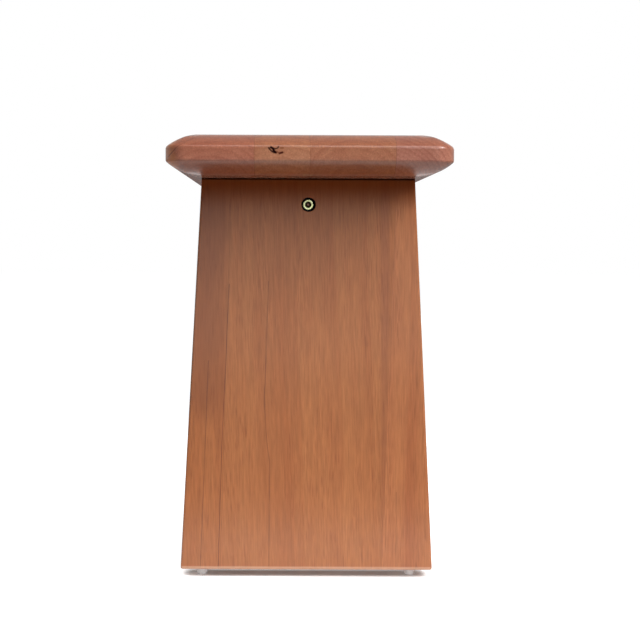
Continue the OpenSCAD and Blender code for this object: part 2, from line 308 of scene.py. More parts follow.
class EffectLibrary:
    """The shader node groups that several materials use, each built once."""

    wander = Noise((2.4, 8.0, 8.0))
    ripple = Noise((3.5, 34.0, 34.0), 1.0)
    bands = Noise((5.0, 64.0, 64.0), 4.0, 0.62)
    tone = Noise((3.4, 15.0, 15.0))
    fibre = Noise((34.0, 560.0, 560.0), 3.0, 0.66)
    specks = Noise((62.0, 1150.0, 1150.0), 0.0)
    clusters = Noise((9.0, 90.0, 90.0))
    line_shake = Noise((90.0, 90.0, 90.0), 1.0)
    line_gaps = Noise((35.0, 35.0, 35.0))
    scratches = Noise((1.0, 0.12, 2.6), 3.0, 0.65)
    smudges = Noise((0.16, 0.16, 0.16), 3.0, 0.55)
    grit = Noise((1.9, 1.9, 1.9), 1.0)
    late_rise: Spot = (0.25, 0.9)
    late_end: Spot = (0.91, 1.0)
    ring_ripple: float = 0.7
    weakest_ring: float = 0.25
    usual_shade: float = 0.36
    shade_swing: float = 2.4

    def __init__(self) -> None:
        """Build the groups."""
        self.wood = self._wood_figure()
        self.line = self._grain_line()
        self.handling = self._handling_marks()

    @staticmethod
    def _start(
        name: str, inputs: dict[str, Value], outputs: dict[str, str],
    ) -> tuple[Graph, Outputs, Node]:
        """Start a node group.

        Args:
            name: The group's name.
            inputs: Each input and its usual value: a number, three numbers for a vector, or four
                for a colour.
            outputs: Each output and its kind, Float or Color.

        Returns:
            The graph, what the group is given, and the node that takes its results.
        """
        tree = bpy.data.node_groups.new(name, "ShaderNodeTree")
        kinds = {3: "Vector", 4: "Color"}
        for label, usual in inputs.items():
            kind = "NodeSocket" + ("Float" if isinstance(usual, float) else kinds[len(usual)])
            socket = tree.interface.new_socket(label, in_out="INPUT", socket_type=kind)
            socket.default_value = usual
        for label, kind in outputs.items():
            tree.interface.new_socket(label, in_out="OUTPUT", socket_type="NodeSocket" + kind)
        graph = Graph(tree)
        return graph, graph.add("NodeGroupInput").outputs, graph.add("NodeGroupOutput")

    def _wood_figure(self) -> NodeTree:
        """Build the figure of a board: growth rings, bands, fibres and pores, the grain along X.

        Returns:
            The group. The pith lies on the X axis of the coordinates that it is given.
        """
        graph, get, result = self._start(
            "wood_figure",
            {
                "Vector": (0.0, 0.0, 0.0), "Early": (0.5, 0.3, 0.2, 1.0),
                "Late": (0.3, 0.15, 0.1, 1.0), "Pore": (0.1, 0.04, 0.02, 1.0),
                "Ring Gap": 0.006, "Ring Depth": 0.4,
                "Band Depth": 0.5, "Tone Depth": 0.5, "Fibre Depth": 0.3, "Pore Depth": 0.5,
                "Wander": 0.004, "Gloss": 0.4,
            },
            {"Colour": "Color", "Height": "Float", "Roughness": "Float"},
        )
        place = graph.shaken(get["Vector"], self.wander, get["Wander"])
        across = graph.vector("LENGTH", graph.vector("MULTIPLY", place, (0.0, 1.0, 1.0)))
        rings = graph.math("DIVIDE", across, get["Ring Gap"])
        ripple = graph.noise(place, self.ripple)
        phase = graph.math("MULTIPLY_ADD", ripple, self.ring_ripple, rings)

        # Each ring darkens slowly to its late wood, ends sharply and has its own strength.
        ring = graph.math("FRACT", phase)
        rise = graph.smooth(ring, *self.late_rise)
        stop = graph.smooth(ring, *self.late_end, 1.0, 0.0)
        own = graph.add("ShaderNodeTexWhiteNoise", noise_dimensions="1D")
        graph.fill(own, W=graph.math("FLOOR", phase))
        weakest = self.weakest_ring
        strength = graph.math("MULTIPLY_ADD", own.outputs["Value"], 1.0 - weakest, weakest)
        late = graph.math("MULTIPLY", graph.math("MULTIPLY", rise, stop), strength)
        bands = graph.noise(place, self.bands)
        fibre = graph.noise(place, self.fibre)
        specks = graph.smooth(graph.noise(place, self.specks), 0.56, 0.72)
        clusters = graph.smooth(graph.noise(place, self.clusters), 0.38, 0.6)
        pores = graph.math("MULTIPLY", specks, clusters)

        shade = graph.math("MULTIPLY_ADD", late, get["Ring Depth"], self.usual_shade)
        for part, depth in ((bands, "Band Depth"), (graph.noise(place, self.tone), "Tone Depth")):
            swing = graph.math("MULTIPLY", graph.math("SUBTRACT", part, 0.5), self.shade_swing)
            shade = graph.math("MULTIPLY_ADD", swing, get[depth], shade)
        colour = graph.mix(graph.math("MAXIMUM", shade, 0.0, clamp=True), get["Early"], get["Late"])
        thread = graph.math("MULTIPLY", graph.math("SUBTRACT", fibre, 0.5), get["Fibre Depth"])
        colour = graph.vector("SCALE", colour, graph.math("MULTIPLY_ADD", thread, -2.0, 1.0))
        colour = graph.mix(graph.math("MULTIPLY", pores, get["Pore Depth"]), colour, get["Pore"])

        # Fibres, late wood and pores each lie a little deeper, and pores are duller.
        height = graph.math("MULTIPLY_ADD", fibre, -0.35, 0.6)
        height = graph.math("MULTIPLY_ADD", late, -0.12, height)
        height = graph.math("MULTIPLY_ADD", pores, -0.5, height)
        rough = graph.math("MULTIPLY_ADD", graph.math("SUBTRACT", bands, 0.5), 0.16, get["Gloss"])
        rough = graph.math("MULTIPLY_ADD", pores, 0.2, rough)
        graph.fill(result, Colour=colour, Height=height, Roughness=rough)
        return graph.tree

    def _grain_line(self) -> NodeTree:
        """Build the mask of one straight stretch of a line in the wood.

        Returns:
            The group. Its mask is 1 on the line and 0 away from it.
        """
        graph, get, result = self._start(
            "grain_line",
            {
                "Vector": (0.0, 0.0, 0.0), "Start": (0.0, 0.0, 0.0), "End": (0.0, 0.0, 1.0),
                "Width": 0.001, "Blur": 0.5, "Wobble": 0.0005, "Uneven": 0.4,
            },
            {"Mask": "Float"},
        )
        place = graph.shaken(get["Vector"], self.line_shake, get["Wobble"])
        way = graph.vector("SUBTRACT", get["End"], get["Start"])
        arm = graph.vector("SUBTRACT", place, get["Start"])
        long = graph.vector("DOT_PRODUCT", way, way)
        share = graph.math("DIVIDE", graph.vector("DOT_PRODUCT", arm, way), long, clamp=True)
        along = graph.vector("SCALE", way, share)
        gap = graph.vector("LENGTH", graph.vector("SUBTRACT", arm, along))
        half = graph.math("MULTIPLY", get["Width"], 0.5)
        inner = graph.math("MULTIPLY", half, graph.math("SUBTRACT", 1.0, get["Blur"]))
        outer = graph.math("MULTIPLY", half, graph.math("ADD", 1.0, get["Blur"]))
        gaps = graph.smooth(graph.noise(get["Vector"], self.line_gaps), 0.35, 0.6, 1.0, 0.0)
        kept = graph.math("SUBTRACT", 1.0, graph.math("MULTIPLY", gaps, get["Uneven"]))
        mask = graph.math("MULTIPLY", graph.smooth(gap, inner, outer, 1.0, 0.0), kept)
        graph.fill(result, Mask=mask)
        return graph.tree

    def _handling_marks(self) -> NodeTree:
        """Build the fine scratches, smudges and dust of handled metal and plastic.

        Returns:
            The group.
        """
        graph, get, result = self._start(
            "handling_marks", {"Vector": (0.0, 0.0, 0.0), "Fine": 900.0},
            {"Scratches": "Float", "Smudges": "Float", "Grit": "Float"},
        )
        place = graph.vector("SCALE", get["Vector"], get["Fine"])
        graph.fill(
            result,
            Scratches=graph.smooth(graph.noise(place, self.scratches), 0.5, 0.72),
            Smudges=graph.smooth(graph.noise(place, self.smudges), 0.36, 0.66),
            Grit=graph.smooth(graph.noise(place, self.grit), 0.6, 0.72),
        )
        return graph.tree


def new_material(name: str) -> tuple[Material, Graph, Outputs]:
    """Start a material.

    Args:
        name: Its name.

    Returns:
        The material, its graph and the outputs of its Texture Coordinate node.
    """
    material = bpy.data.materials.new(name)
    material.use_nodes = True
    graph = Graph(material.node_tree)
    return material, graph, graph.add("ShaderNodeTexCoord").outputs


@dataclass(frozen=True)
class Mark:
    """A line in a piece of wood: a glue line, a dark streak, a growth ring, a crack, painted shade
    or a painted highlight.
    """

    path: tuple[Point, ...]
    width: float
    colour: Colour
    strength: float
    blur: float = 0.5
    wobble: float = 0.4 * MM
    uneven: float = 0.4
    sunk: float = 0.0
    dull: float = 0.0

    def mask(self, graph: Graph, effects: EffectLibrary, place: Socket) -> Socket:
        """Join the mark's stretches into one mask.

        Args:
            graph: The material's graph.
            effects: The node groups.
            place: The piece's own coordinates.

        Returns:
            The mask, which runs right through the piece along X where the path has X 0.
        """
        through = all(point[0] == 0.0 for point in self.path)
        depth = (0.0 if through else MARK_DEPTH, 1.0, 1.0)
        spot = graph.vector("MULTIPLY", place, depth)
        mask: Value = 0.0
        for stretch in zip(self.path, self.path[1:]):
            start, end = (tuple(p * d for p, d in zip(point, depth)) for point in stretch)
            line = graph.group(
                effects.line, Vector=spot, Start=start, End=end, Width=self.width, Blur=self.blur,
                Wobble=self.wobble, Uneven=self.uneven,
            )
            mask = graph.math("MAXIMUM", mask, line.outputs["Mask"])
        return mask


@dataclass(frozen=True)
class WoodFinish:
    """One piece of wood under a satin lacquer. Colours are linear, and lengths are metres."""

    name: str
    early: Colour
    late: Colour
    way: GrainWay
    pith: Spot
    start: float
    pore: Colour = PORE
    ring_gap: float = 5.5 * MM
    ring_depth: float = 0.4
    band_depth: float = 0.36
    tone_depth: float = 0.34
    fibre_depth: float = 0.4
    pore_depth: float = 0.32
    wander: float = 6 * MM
    tilt: float = 0.0
    gloss: float = 0.42
    shine: float = 0.0
    coat: float = 0.9
    coat_roughness: float = 0.12
    # Below 1 the end tint darkens the end grain; above 1 it is a painted sheen. The end specks are
    # painted glints.
    end_tone_and_sheen: Colour = (0.86, 0.86, 0.86)
    end_grain: Noise = Noise((700.0, 700.0, 700.0), 1.0)
    end_glints: float = 1.3
    relief: float = 0.10
    depth: float = 0.6 * MM
    marks: tuple[Mark, ...] = ()

    def build(self, effects: EffectLibrary) -> Material:
        """Make the material.

        Args:
            effects: The node groups to build it from.

        Returns:
            The material.
        """
        material, graph, where = new_material(self.name)
        lay = graph.fill(
            graph.add("ShaderNodeMapping", vector_type="POINT"), Vector=where["Object"],
            Rotation=(0.0, self.way.value, self.tilt),
            Location=(self.start, -self.pith[0], -self.pith[1]),
        )
        wood = graph.group(
            effects.wood, Vector=lay.outputs["Vector"], Early=self.early, Late=self.late,
            Pore=self.pore, Ring_Gap=self.ring_gap, Ring_Depth=self.ring_depth,
            Band_Depth=self.band_depth, Tone_Depth=self.tone_depth, Fibre_Depth=self.fibre_depth,
            Pore_Depth=self.pore_depth, Wander=self.wander, Gloss=self.gloss,
        ).outputs
        colour = self._tinted_ends(graph, where, wood["Colour"])
        height: Value = wood["Height"]
        coat: Value = self.coat
        for mark in self.marks:
            mask = mark.mask(graph, effects, where["Object"])
            colour = graph.mix(graph.math("MULTIPLY", mask, mark.strength), colour, mark.colour)
            if mark.dull:
                shine = graph.math("MULTIPLY_ADD", mask, -mark.dull, 1.0)
                coat = graph.math("MULTIPLY", coat, shine)
            if mark.sunk:
                height = graph.math("MULTIPLY_ADD", mask, -mark.sunk, height)
        graph.surface(
            colour, wood["Roughness"], height, self.relief, self.depth, Coat_Weight=coat,
            Specular_IOR_Level=self.shine, Coat_Roughness=self.coat_roughness,
        )
        return material

    def _tinted_ends(self, graph: Graph, where: Outputs, colour: Socket) -> Socket:
        """Tint the end grain and paint brighter specks on it as glints. A tint below 1 darkens end
        grain, which takes the finish otherwise than the long faces do; a tint above 1 is a painted
        sheen.

        Args:
            graph: The material's graph.
            where: The outputs of its Texture Coordinate node.
            colour: The colour so far.

        Returns:
            The tinted colour.
        """
        along = X_AXIS if self.way is GrainWay.ALONG_SEAT else Z_AXIS
        facing = graph.math("ABSOLUTE", graph.vector("DOT_PRODUCT", where["Normal"], along))
        # A tint above 1, as on the staves, is a painted sheen: paler, bluer end grain in place of
        # the lacquer's reflection.
        tinted = graph.vector("MULTIPLY", colour, self.end_tone_and_sheen)
        # Brighter specks painted on the end grain as glints.
        specks = graph.noise(where["Object"], self.end_grain)
        lit = graph.vector("SCALE", tinted, graph.smooth(specks, 0.62, 0.74, 1.0, self.end_glints))
        return graph.mix(graph.smooth(facing, 0.45, 0.95), colour, lit)


@dataclass(frozen=True)
class MetalFinish:
    """A handled metal part. Its socket, near an axis along X and short of a face, is painted dark
    as shade, with a paler reddish core painted as a reflection.
    """

    name: str
    colour: Colour
    worn: Colour
    roughness: float
    metallic: float = 1.0
    socket_shade: Colour = (0.0, 0.0, 0.0)
    socket_core_reflection: Colour = (0.0, 0.0, 0.0)
    deep_axis: Point = (0.0, 0.0, 0.0)
    deep_radius: float = 0.0
    deep_face: float = 0.0
    relief: float = 0.12

    def build(self, effects: EffectLibrary) -> Material:
        """Make the material.

        Args:
            effects: The node groups to build it from.

        Returns:
            The material.
        """
        material, graph, where = new_material(self.name)
        marks = graph.group(effects.handling, Vector=where["Object"], Fine=METAL_MARKS).outputs
        colour = graph.mix(marks["Smudges"], self.colour, self.worn)
        rough = graph.math("MULTIPLY_ADD", marks["Smudges"], 0.12, self.roughness)
        rough = graph.math("MULTIPLY_ADD", marks["Scratches"], 0.1, rough)
        # Painted shade in the socket, with a painted reflection at its core.
        if self.deep_radius:
            arm = graph.vector("SUBTRACT", where["Object"], self.deep_axis)
            away = graph.vector("LENGTH", graph.vector("MULTIPLY", arm, (0.0, 1.0, 1.0)))
            reach = graph.vector("LENGTH", graph.vector("MULTIPLY", where["Object"], X_AXIS))
            inside = graph.smooth(away, self.deep_radius, self.deep_radius + 0.1 * MM, 1.0, 0.0)
            short = graph.smooth(reach, self.deep_face - 0.3 * MM, self.deep_face, 1.0, 0.0)
            shaded_socket = graph.math("MULTIPLY", inside, short)
            shade = graph.mix(graph.smooth(away, 0.7 * MM, 1.4 * MM), self.socket_core_reflection, self.socket_shade)
            colour = graph.mix(shaded_socket, colour, shade)
            rough = graph.math("MULTIPLY_ADD", shaded_socket, 0.3, rough)
        height = graph.math("SUBTRACT", 1.0, marks["Scratches"])
        graph.surface(colour, rough, height, self.relief, FINE_BUMP, Metallic=self.metallic)
        return material


@dataclass(frozen=True)
class PlasticFinish:
    """Milky moulded plastic that lets some light through."""

    name: str
    colour: Colour
    dusty: Colour
    roughness: float = 0.34
    clearness: float = 0.04
    relief: float = 0.1

    def build(self, effects: EffectLibrary) -> Material:
        """Make the material.

        Args:
            effects: The node groups to build it from.

        Returns:
            The material.
        """
        material, graph, where = new_material(self.name)
        marks = graph.group(effects.handling, Vector=where["Object"], Fine=PLASTIC_MARKS).outputs
        colour = graph.mix(graph.math("MULTIPLY", marks["Smudges"], 0.6), self.colour, self.dusty)
        colour = graph.mix(graph.math("MULTIPLY", marks["Grit"], 0.5), colour, self.dusty)
        rough = graph.math("MULTIPLY_ADD", marks["Scratches"], 0.2, self.roughness)
        graph.surface(
            colour, rough, marks["Grit"], self.relief, FINE_BUMP,
            Metallic=0.0, Transmission_Weight=self.clearness,
        )
        return material


Finish = Union[WoodFinish, MetalFinish, PlasticFinish]


def block(low: Point, high: Point) -> BMesh:
    """Make a closed box.

    Args:
        low: Its lowest corner.
        high: Its highest corner.

    Returns:
        The box.
    """
    bm = bmesh.new()
    bmesh.ops.create_cube(bm, size=1.0)
    lower, upper = Vector(low), Vector(high)
    bmesh.ops.scale(bm, vec=upper - lower, verts=bm.verts)
    bmesh.ops.translate(bm, vec=(lower + upper) / 2, verts=bm.verts)
    return bm


def turned(line: Sequence[Spot], sides: int = 48, closed: bool = False) -> BMesh:
    """Turn an outline about Z, as on a lathe.

    Args:
        line: The outline, as radius and height.
        sides: How many sides the round gets.
        closed: Whether the outline's last point joins its first, for a ring.

    Returns:
        The turned solid.
    """
    bm = bmesh.new()
    verts = [bm.verts.new((radius, 0.0, height)) for radius, height in line]
    pairs = list(zip(verts, verts[1:])) + ([(verts[-1], verts[0])] if closed else [])
    edges = [bm.edges.new(pair) for pair in pairs]
    bmesh.ops.spin(
        bm, geom=verts + edges, cent=(0, 0, 0), axis=Z_AXIS, dvec=(0, 0, 0),
        angle=math.tau, steps=sides, use_merge=True, use_duplicate=False,
    )
    bmesh.ops.remove_doubles(bm, verts=bm.verts, dist=MERGE_DIST)
    bmesh.ops.recalc_face_normals(bm, faces=bm.faces)
    return bm


def threaded(
    profile: Sequence[Spot], start: float, end: float, pitch: float,
) -> tuple[list[Spot], float]:
    """Repeat the outline of a thread's turn along a shank.

    Args:
        profile: The turn, as radius and height above the turn's start.
        start: Where the thread starts.
        end: A height past which no turn starts.
        pitch: The height of a turn.

    Returns:
        The outline of all turns, and the height that the next one would start at.
    """
    line, height = [], start
    while height < end:
        line += [(radius, height + rise) for radius, rise in profile]
        height += pitch
    return line, height


def soften(bm: BMesh, edges: Iterable[bmesh.types.BMEdge], width: float, segments: int) -> None:
    """Round some arrises.

    Args:
        bm: The mesh.
        edges: The arrises.
        width: How far the round reaches from the arris.
        segments: How many strips it gets.
    """
    bmesh.ops.bevel(
        bm, geom=list(edges), offset=width, offset_type="OFFSET", affect="EDGES", segments=segments,
        profile=0.5, material=-1, clamp_overlap=True,
    )


def cut_off(bm: BMesh, point: Point, normal: Point) -> None:
    """Cut away what lies beyond a plane, and close the cut.

    Args:
        bm: The mesh.
        point: A point on the plane.
        normal: The plane's normal, on the side that goes.
    """
    made = bmesh.ops.bisect_plane(
        bm, geom=bm.verts[:] + bm.edges[:] + bm.faces[:], dist=PLANE_DIST, plane_co=point,
        plane_no=normal, clear_outer=True, clear_inner=False,
    )
    rim = [part for part in made["geom_cut"] if isinstance(part, bmesh.types.BMEdge)]
    bmesh.ops.holes_fill(bm, edges=rim, sides=0)


def as_mesh(name: str, bm: BMesh) -> Mesh:
    """Write a bmesh into a new mesh, and free it.

    Args:
        name: The new mesh's name.
        bm: The bmesh.

    Returns:
        The mesh.
    """
    mesh = bpy.data.meshes.new(name)
    bm.to_mesh(mesh)
    bm.free()
    return mesh


def put_in(name: str, data: bpy.types.ID) -> Object:
    """Make an object of some data, and put it in the scene.

    Args:
        name: The object's name.
        data: Its mesh, lamp or camera.

    Returns:
        The object.
    """
    thing = bpy.data.objects.new(name, data)
    bpy.context.scene.collection.objects.link(thing)
    return thing


def carved(bm: BMesh, cutters: Iterable[BMesh]) -> BMesh:
    """Cut solids out of a mesh, one after another.

    Args:
        bm: The mesh, which is freed.
        cutters: The solids, which are freed.

    Returns:
        What is left.
    """
    mesh = as_mesh("work", bm)
    for cutter in cutters:
        work, tool = put_in("work", mesh), put_in("tool", as_mesh("tool", cutter))
        cut = work.modifiers.new("bore", "BOOLEAN")
        cut.operation = "DIFFERENCE"
        cut.solver = "EXACT"
        cut.object = tool
        view = bpy.context.evaluated_depsgraph_get()
        mesh = bpy.data.meshes.new_from_object(work.evaluated_get(view))
        for used in (work, tool):
            data = used.data
            bpy.data.objects.remove(used)
            bpy.data.meshes.remove(data)
    left = bmesh.new()
    left.from_mesh(mesh)
    bpy.data.meshes.remove(mesh)
    return left


def join(parts: Iterable[BMesh]) -> BMesh:
    """Put several solids into one mesh, each still closed by itself, and free them.

    Args:
        parts: The solids.

    Returns:
        The mesh that holds them all.
    """
    whole = bmesh.new()
    for part in parts:
        mesh = as_mesh("part", part)
        whole.from_mesh(mesh)
        bpy.data.meshes.remove(mesh)
    return whole


def moved(bm: BMesh, matrix: Matrix) -> BMesh:
    """Move a whole mesh, and give it back."""
    bmesh.ops.transform(bm, matrix=matrix, verts=bm.verts)
    return bm


def both_ends(bm: BMesh) -> BMesh:
    """Put a part at the right end of the bench and again, turned about, at the left end."""
    return join([bm, moved(bm.copy(), HALF_TURN)])


def along_x(x: float, z: float) -> Matrix:
    """Lay a turned part along X in the middle of the bench, with its start at a place."""
    return Matrix.Translation((x, 0.0, z)) @ LIE_ALONG_X


@dataclass(frozen=True)
class Drill:
    """A round stepped hole: its mouth, the way it goes, and its steps as radius and depth."""

    mouth: Point
    way: Point
    steps: tuple[Spot, ...]
    sides: int = 48

    def turned(self, turn: Matrix) -> "Drill":
        """Give the same hole, turned about the bench's middle."""
        mouth, way = turn @ Vector(self.mouth), turn.to_3x3() @ Vector(self.way)
        return Drill(tuple(mouth), tuple(way), self.steps, self.sides)

    def cutter(self) -> BMesh:
        """Make the solid that cuts the hole.

        Returns:
            The solid, which starts a little outside the mouth.
        """
        line, depth = [(0.0, -CUT_OVER)], -CUT_OVER
        for radius, reach in self.steps:
            line += [(radius, depth), (radius, reach)]
            depth = reach
        aim = Vector(Z_AXIS).rotation_difference(Vector(self.way)).to_matrix().to_4x4()
        bm = turned(line + [(0.0, depth)], self.sides)
        return moved(bm, Matrix.Translation(self.mouth) @ aim)


class Shop:
    """Turns meshes into finished pieces that stand for the frame's nodes."""

    def __init__(self) -> None:
        """Build the node groups, and start with no materials made."""
        self.effects = EffectLibrary()
        self.materials: dict[str, Material] = {}
        self.pieces: list[Object] = []

    def material(self, finish: Finish) -> Material:
        """Give the material of a finish, making it the first time."""
        if finish.name not in self.materials:
            self.materials[finish.name] = finish.build(self.effects)
        return self.materials[finish.name]

    def finish(
        self, name: str, bm: BMesh, finish: Finish, nodes: Sequence[str], slot: str,
        drills: Sequence[Drill] = (),
    ) -> None:
        """Make a mesh a piece of the bench.

        Args:
            name: The piece's name.
            bm: Its mesh, which is freed.
            finish: What it is finished with.
            nodes: The frame's nodes that it stands for.
            slot: The record's material slot; not used.
            drills: Round holes to cut into it.
        """
        work = carved(bm, [drill.cutter() for drill in drills])
        for face in work.faces:
            face.smooth = True
        for edge in work.edges:
            edge.smooth = len(edge.link_faces) == 2 and edge.calc_face_angle(0.0) < SHARP_ANGLE
        mesh = as_mesh(name, work)
        mesh.materials.append(self.material(finish))
        piece = put_in(name, mesh)
        flat = piece.modifiers.new("flat faces", "WEIGHTED_NORMAL")
        flat.mode = "FACE_AREA"
        flat.weight = 50
        flat.keep_sharp = True
        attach(piece, BODY)
        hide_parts(*nodes)
        self.pieces.append(piece)
        LOG.info("%s: %d faces, for %s", name, len(mesh.polygons), ", ".join(nodes))


@dataclass
class Seat:
    """The seat: four staves glued edge to edge, with shaped edges and rounded corners."""

    length: float = 1100 * MM
    width: float = 280 * MM
    under: float = PLAN.seat_under
    thick: float = 40 * MM
    band: float = 14 * MM
    edge: float = 30 * MM
    crown: float = 2.0 * MM
    lower_crown: float = 2.6 * MM
    corner: float = 20 * MM
    corner_steps: int = 16
    outer_stops: tuple[float, ...] = (4 * MM, 6.5 * MM, 9 * MM, 12 * MM, 15 * MM, 17.5 * MM)
    inner_stops: tuple[float, ...] = (22 * MM, 24 * MM, 26 * MM, 28 * MM, 30 * MM)
    glue_lines: tuple[float, ...] = (-53.5 * MM, 0.0, 82.5 * MM)
    arris: float = 2.2 * MM
    lower_arris: float = 1.4 * MM
    crease: float = 1.6 * MM
    lower_crease: float = 0.8 * MM
    control: float = 34 * MM
    dowel_depth: float = 23 * MM
    screw_depth: float = 25 * MM

    def _rise(self, inset: float, crown: float) -> float:
        """Height of a shaped face above the band, at a distance in from the edge.

        Args:
            inset: The distance in from the edge.
            crown: How far the face bulges from the flat.

        Returns:
            The height.
        """
        drop = (self.thick - self.band) / 2
        chord = math.hypot(self.edge, drop)
        radius = chord * chord / (8 * crown) + crown / 2
        centre_in = self.edge / 2 + (radius - crown) * drop / chord
        centre_up = drop / 2 - (radius - crown) * self.edge / chord
        return centre_up + math.sqrt(radius * radius - (inset - centre_in) ** 2)

    def _shape_face(self, bm: BMesh, side: int, crown: float) -> None:
        """Draw the shaped face in from one side of the band, step by step.

        Args:
            bm: The seat's mesh.
            side: 1 for the top, -1 for the underside.
            crown: How far the face bulges from the flat.
        """
        face = max(bm.faces, key=lambda f: side * f.calc_center_median().z)
        short_of_point = 0.02 * MM
        vanish = self.corner * math.cos(math.pi / 4 / self.corner_steps) - short_of_point
        reached, risen = 0.0, 0.0
        for inset in (*self.outer_stops, vanish, *self.inner_stops):
            bmesh.ops.inset_individual(
                bm, faces=[face], thickness=inset - reached, depth=0.0, use_even_offset=True,
            )
            reached = self.corner if inset == vanish else inset
            rise = self._rise(reached, crown)
            bmesh.ops.translate(bm, vec=(0, 0, side * (rise - risen)), verts=list(face.verts))
            if inset == vanish:
                self._close_corners(bm, face, side * (self.band / 2 + rise))
            risen = rise

    def _close_corners(self, bm: BMesh, face: bmesh.types.BMFace, rise: float) -> None:
        """Merge each corner's last small arc into one point.

        Args:
            bm: The seat's mesh.
            face: The face whose corners are the arcs.
            rise: The point's height over the middle of the seat.
        """
        height = self.under + self.thick / 2 + rise
        for along in (-1, 1):
            for across in (-1, 1):
                x, y = self.length / 2 - self.corner, self.width / 2 - self.corner
                spot = Vector((along * x, across * y, height))
                near = [v for v in face.verts if (v.co - spot).length < 2 * MM]
                bmesh.ops.pointmerge(bm, verts=near, merge_co=spot)

    def _blank(self) -> BMesh:
        """Shape the whole seat, before it is parted into staves.

        Returns:
            The seat's mesh.
        """
        middle = self.under + self.thick / 2
        half = Vector((self.length / 2, self.width / 2, self.band / 2))
        bm = block((-half.x, -half.y, middle - half.z), (half.x, half.y, middle + half.z))
        upright = [e for e in bm.edges if abs(e.verts[0].co.z - e.verts[1].co.z) > MM]
        soften(bm, upright, self.corner, self.corner_steps)
        self._shape_face(bm, 1, self.crown)
        self._shape_face(bm, -1, self.lower_crown)
        for level, width, segments in (
            (middle + self.band / 2, self.arris, 4), (middle - self.band / 2, self.lower_arris, 4),
            (self.under, self.lower_crease, 3), (self.under + self.thick, self.crease, 3),
        ):
            rim = [e for e in bm.edges if all(abs(v.co.z - level) < LEVEL_DIST for v in e.verts)]
            soften(bm, rim, width, segments)
        for way, reach in ((Vector((1, 0, 0)), half.x), (Vector((0, 1, 0)), half.y)):
            for side in (1, -1):
                bmesh.ops.bisect_plane(
                    bm, geom=bm.verts[:] + bm.edges[:] + bm.faces[:], dist=PLANE_DIST,
                    plane_co=way * side * (reach - self.control), plane_no=way,
                )
        return bm

    def build(self, shop: Shop, finishes: Sequence[WoodFinish]) -> None:
        """Part the seat into its staves and finish them.

        Args:
            shop: Where pieces are finished.
            finishes: One finish for each stave, from the front.
        """
        edges = (-self.width / 2 - CUT_OVER, *self.glue_lines, self.width / 2 + CUT_OVER)
        last = len(finishes) - 1
        holes = [
            ((x * PLAN.leg_middle, y * PLAN.seat_dowel_y), PLAN.seat_dowel_hole, self.dowel_depth)
            for x in (1, -1) for y in (-1, 1)
        ]
        holes += [(place, PLAN.screw_hole, self.screw_depth) for place in PLAN.screws]
        blank = self._blank()
        for i, finish in enumerate(finishes):
            low, high = edges[i], edges[i + 1]
            stave = blank.copy()
            if i > 0:
                cut_off(stave, (0, low, 0), (0, -1, 0))
            if i < last:
                cut_off(stave, (0, high, 0), (0, 1, 0))
            drills = [
                Drill((x, y, self.under), Z_AXIS, ((radius, depth),))
                for (x, y), radius, depth in holes if low - radius < y < high + radius
            ]
            name = f"stave_{i + 1}"
            shop.finish(name, stave, finish, ["seat_" + name], "seat_wood", drills)
        blank.free()


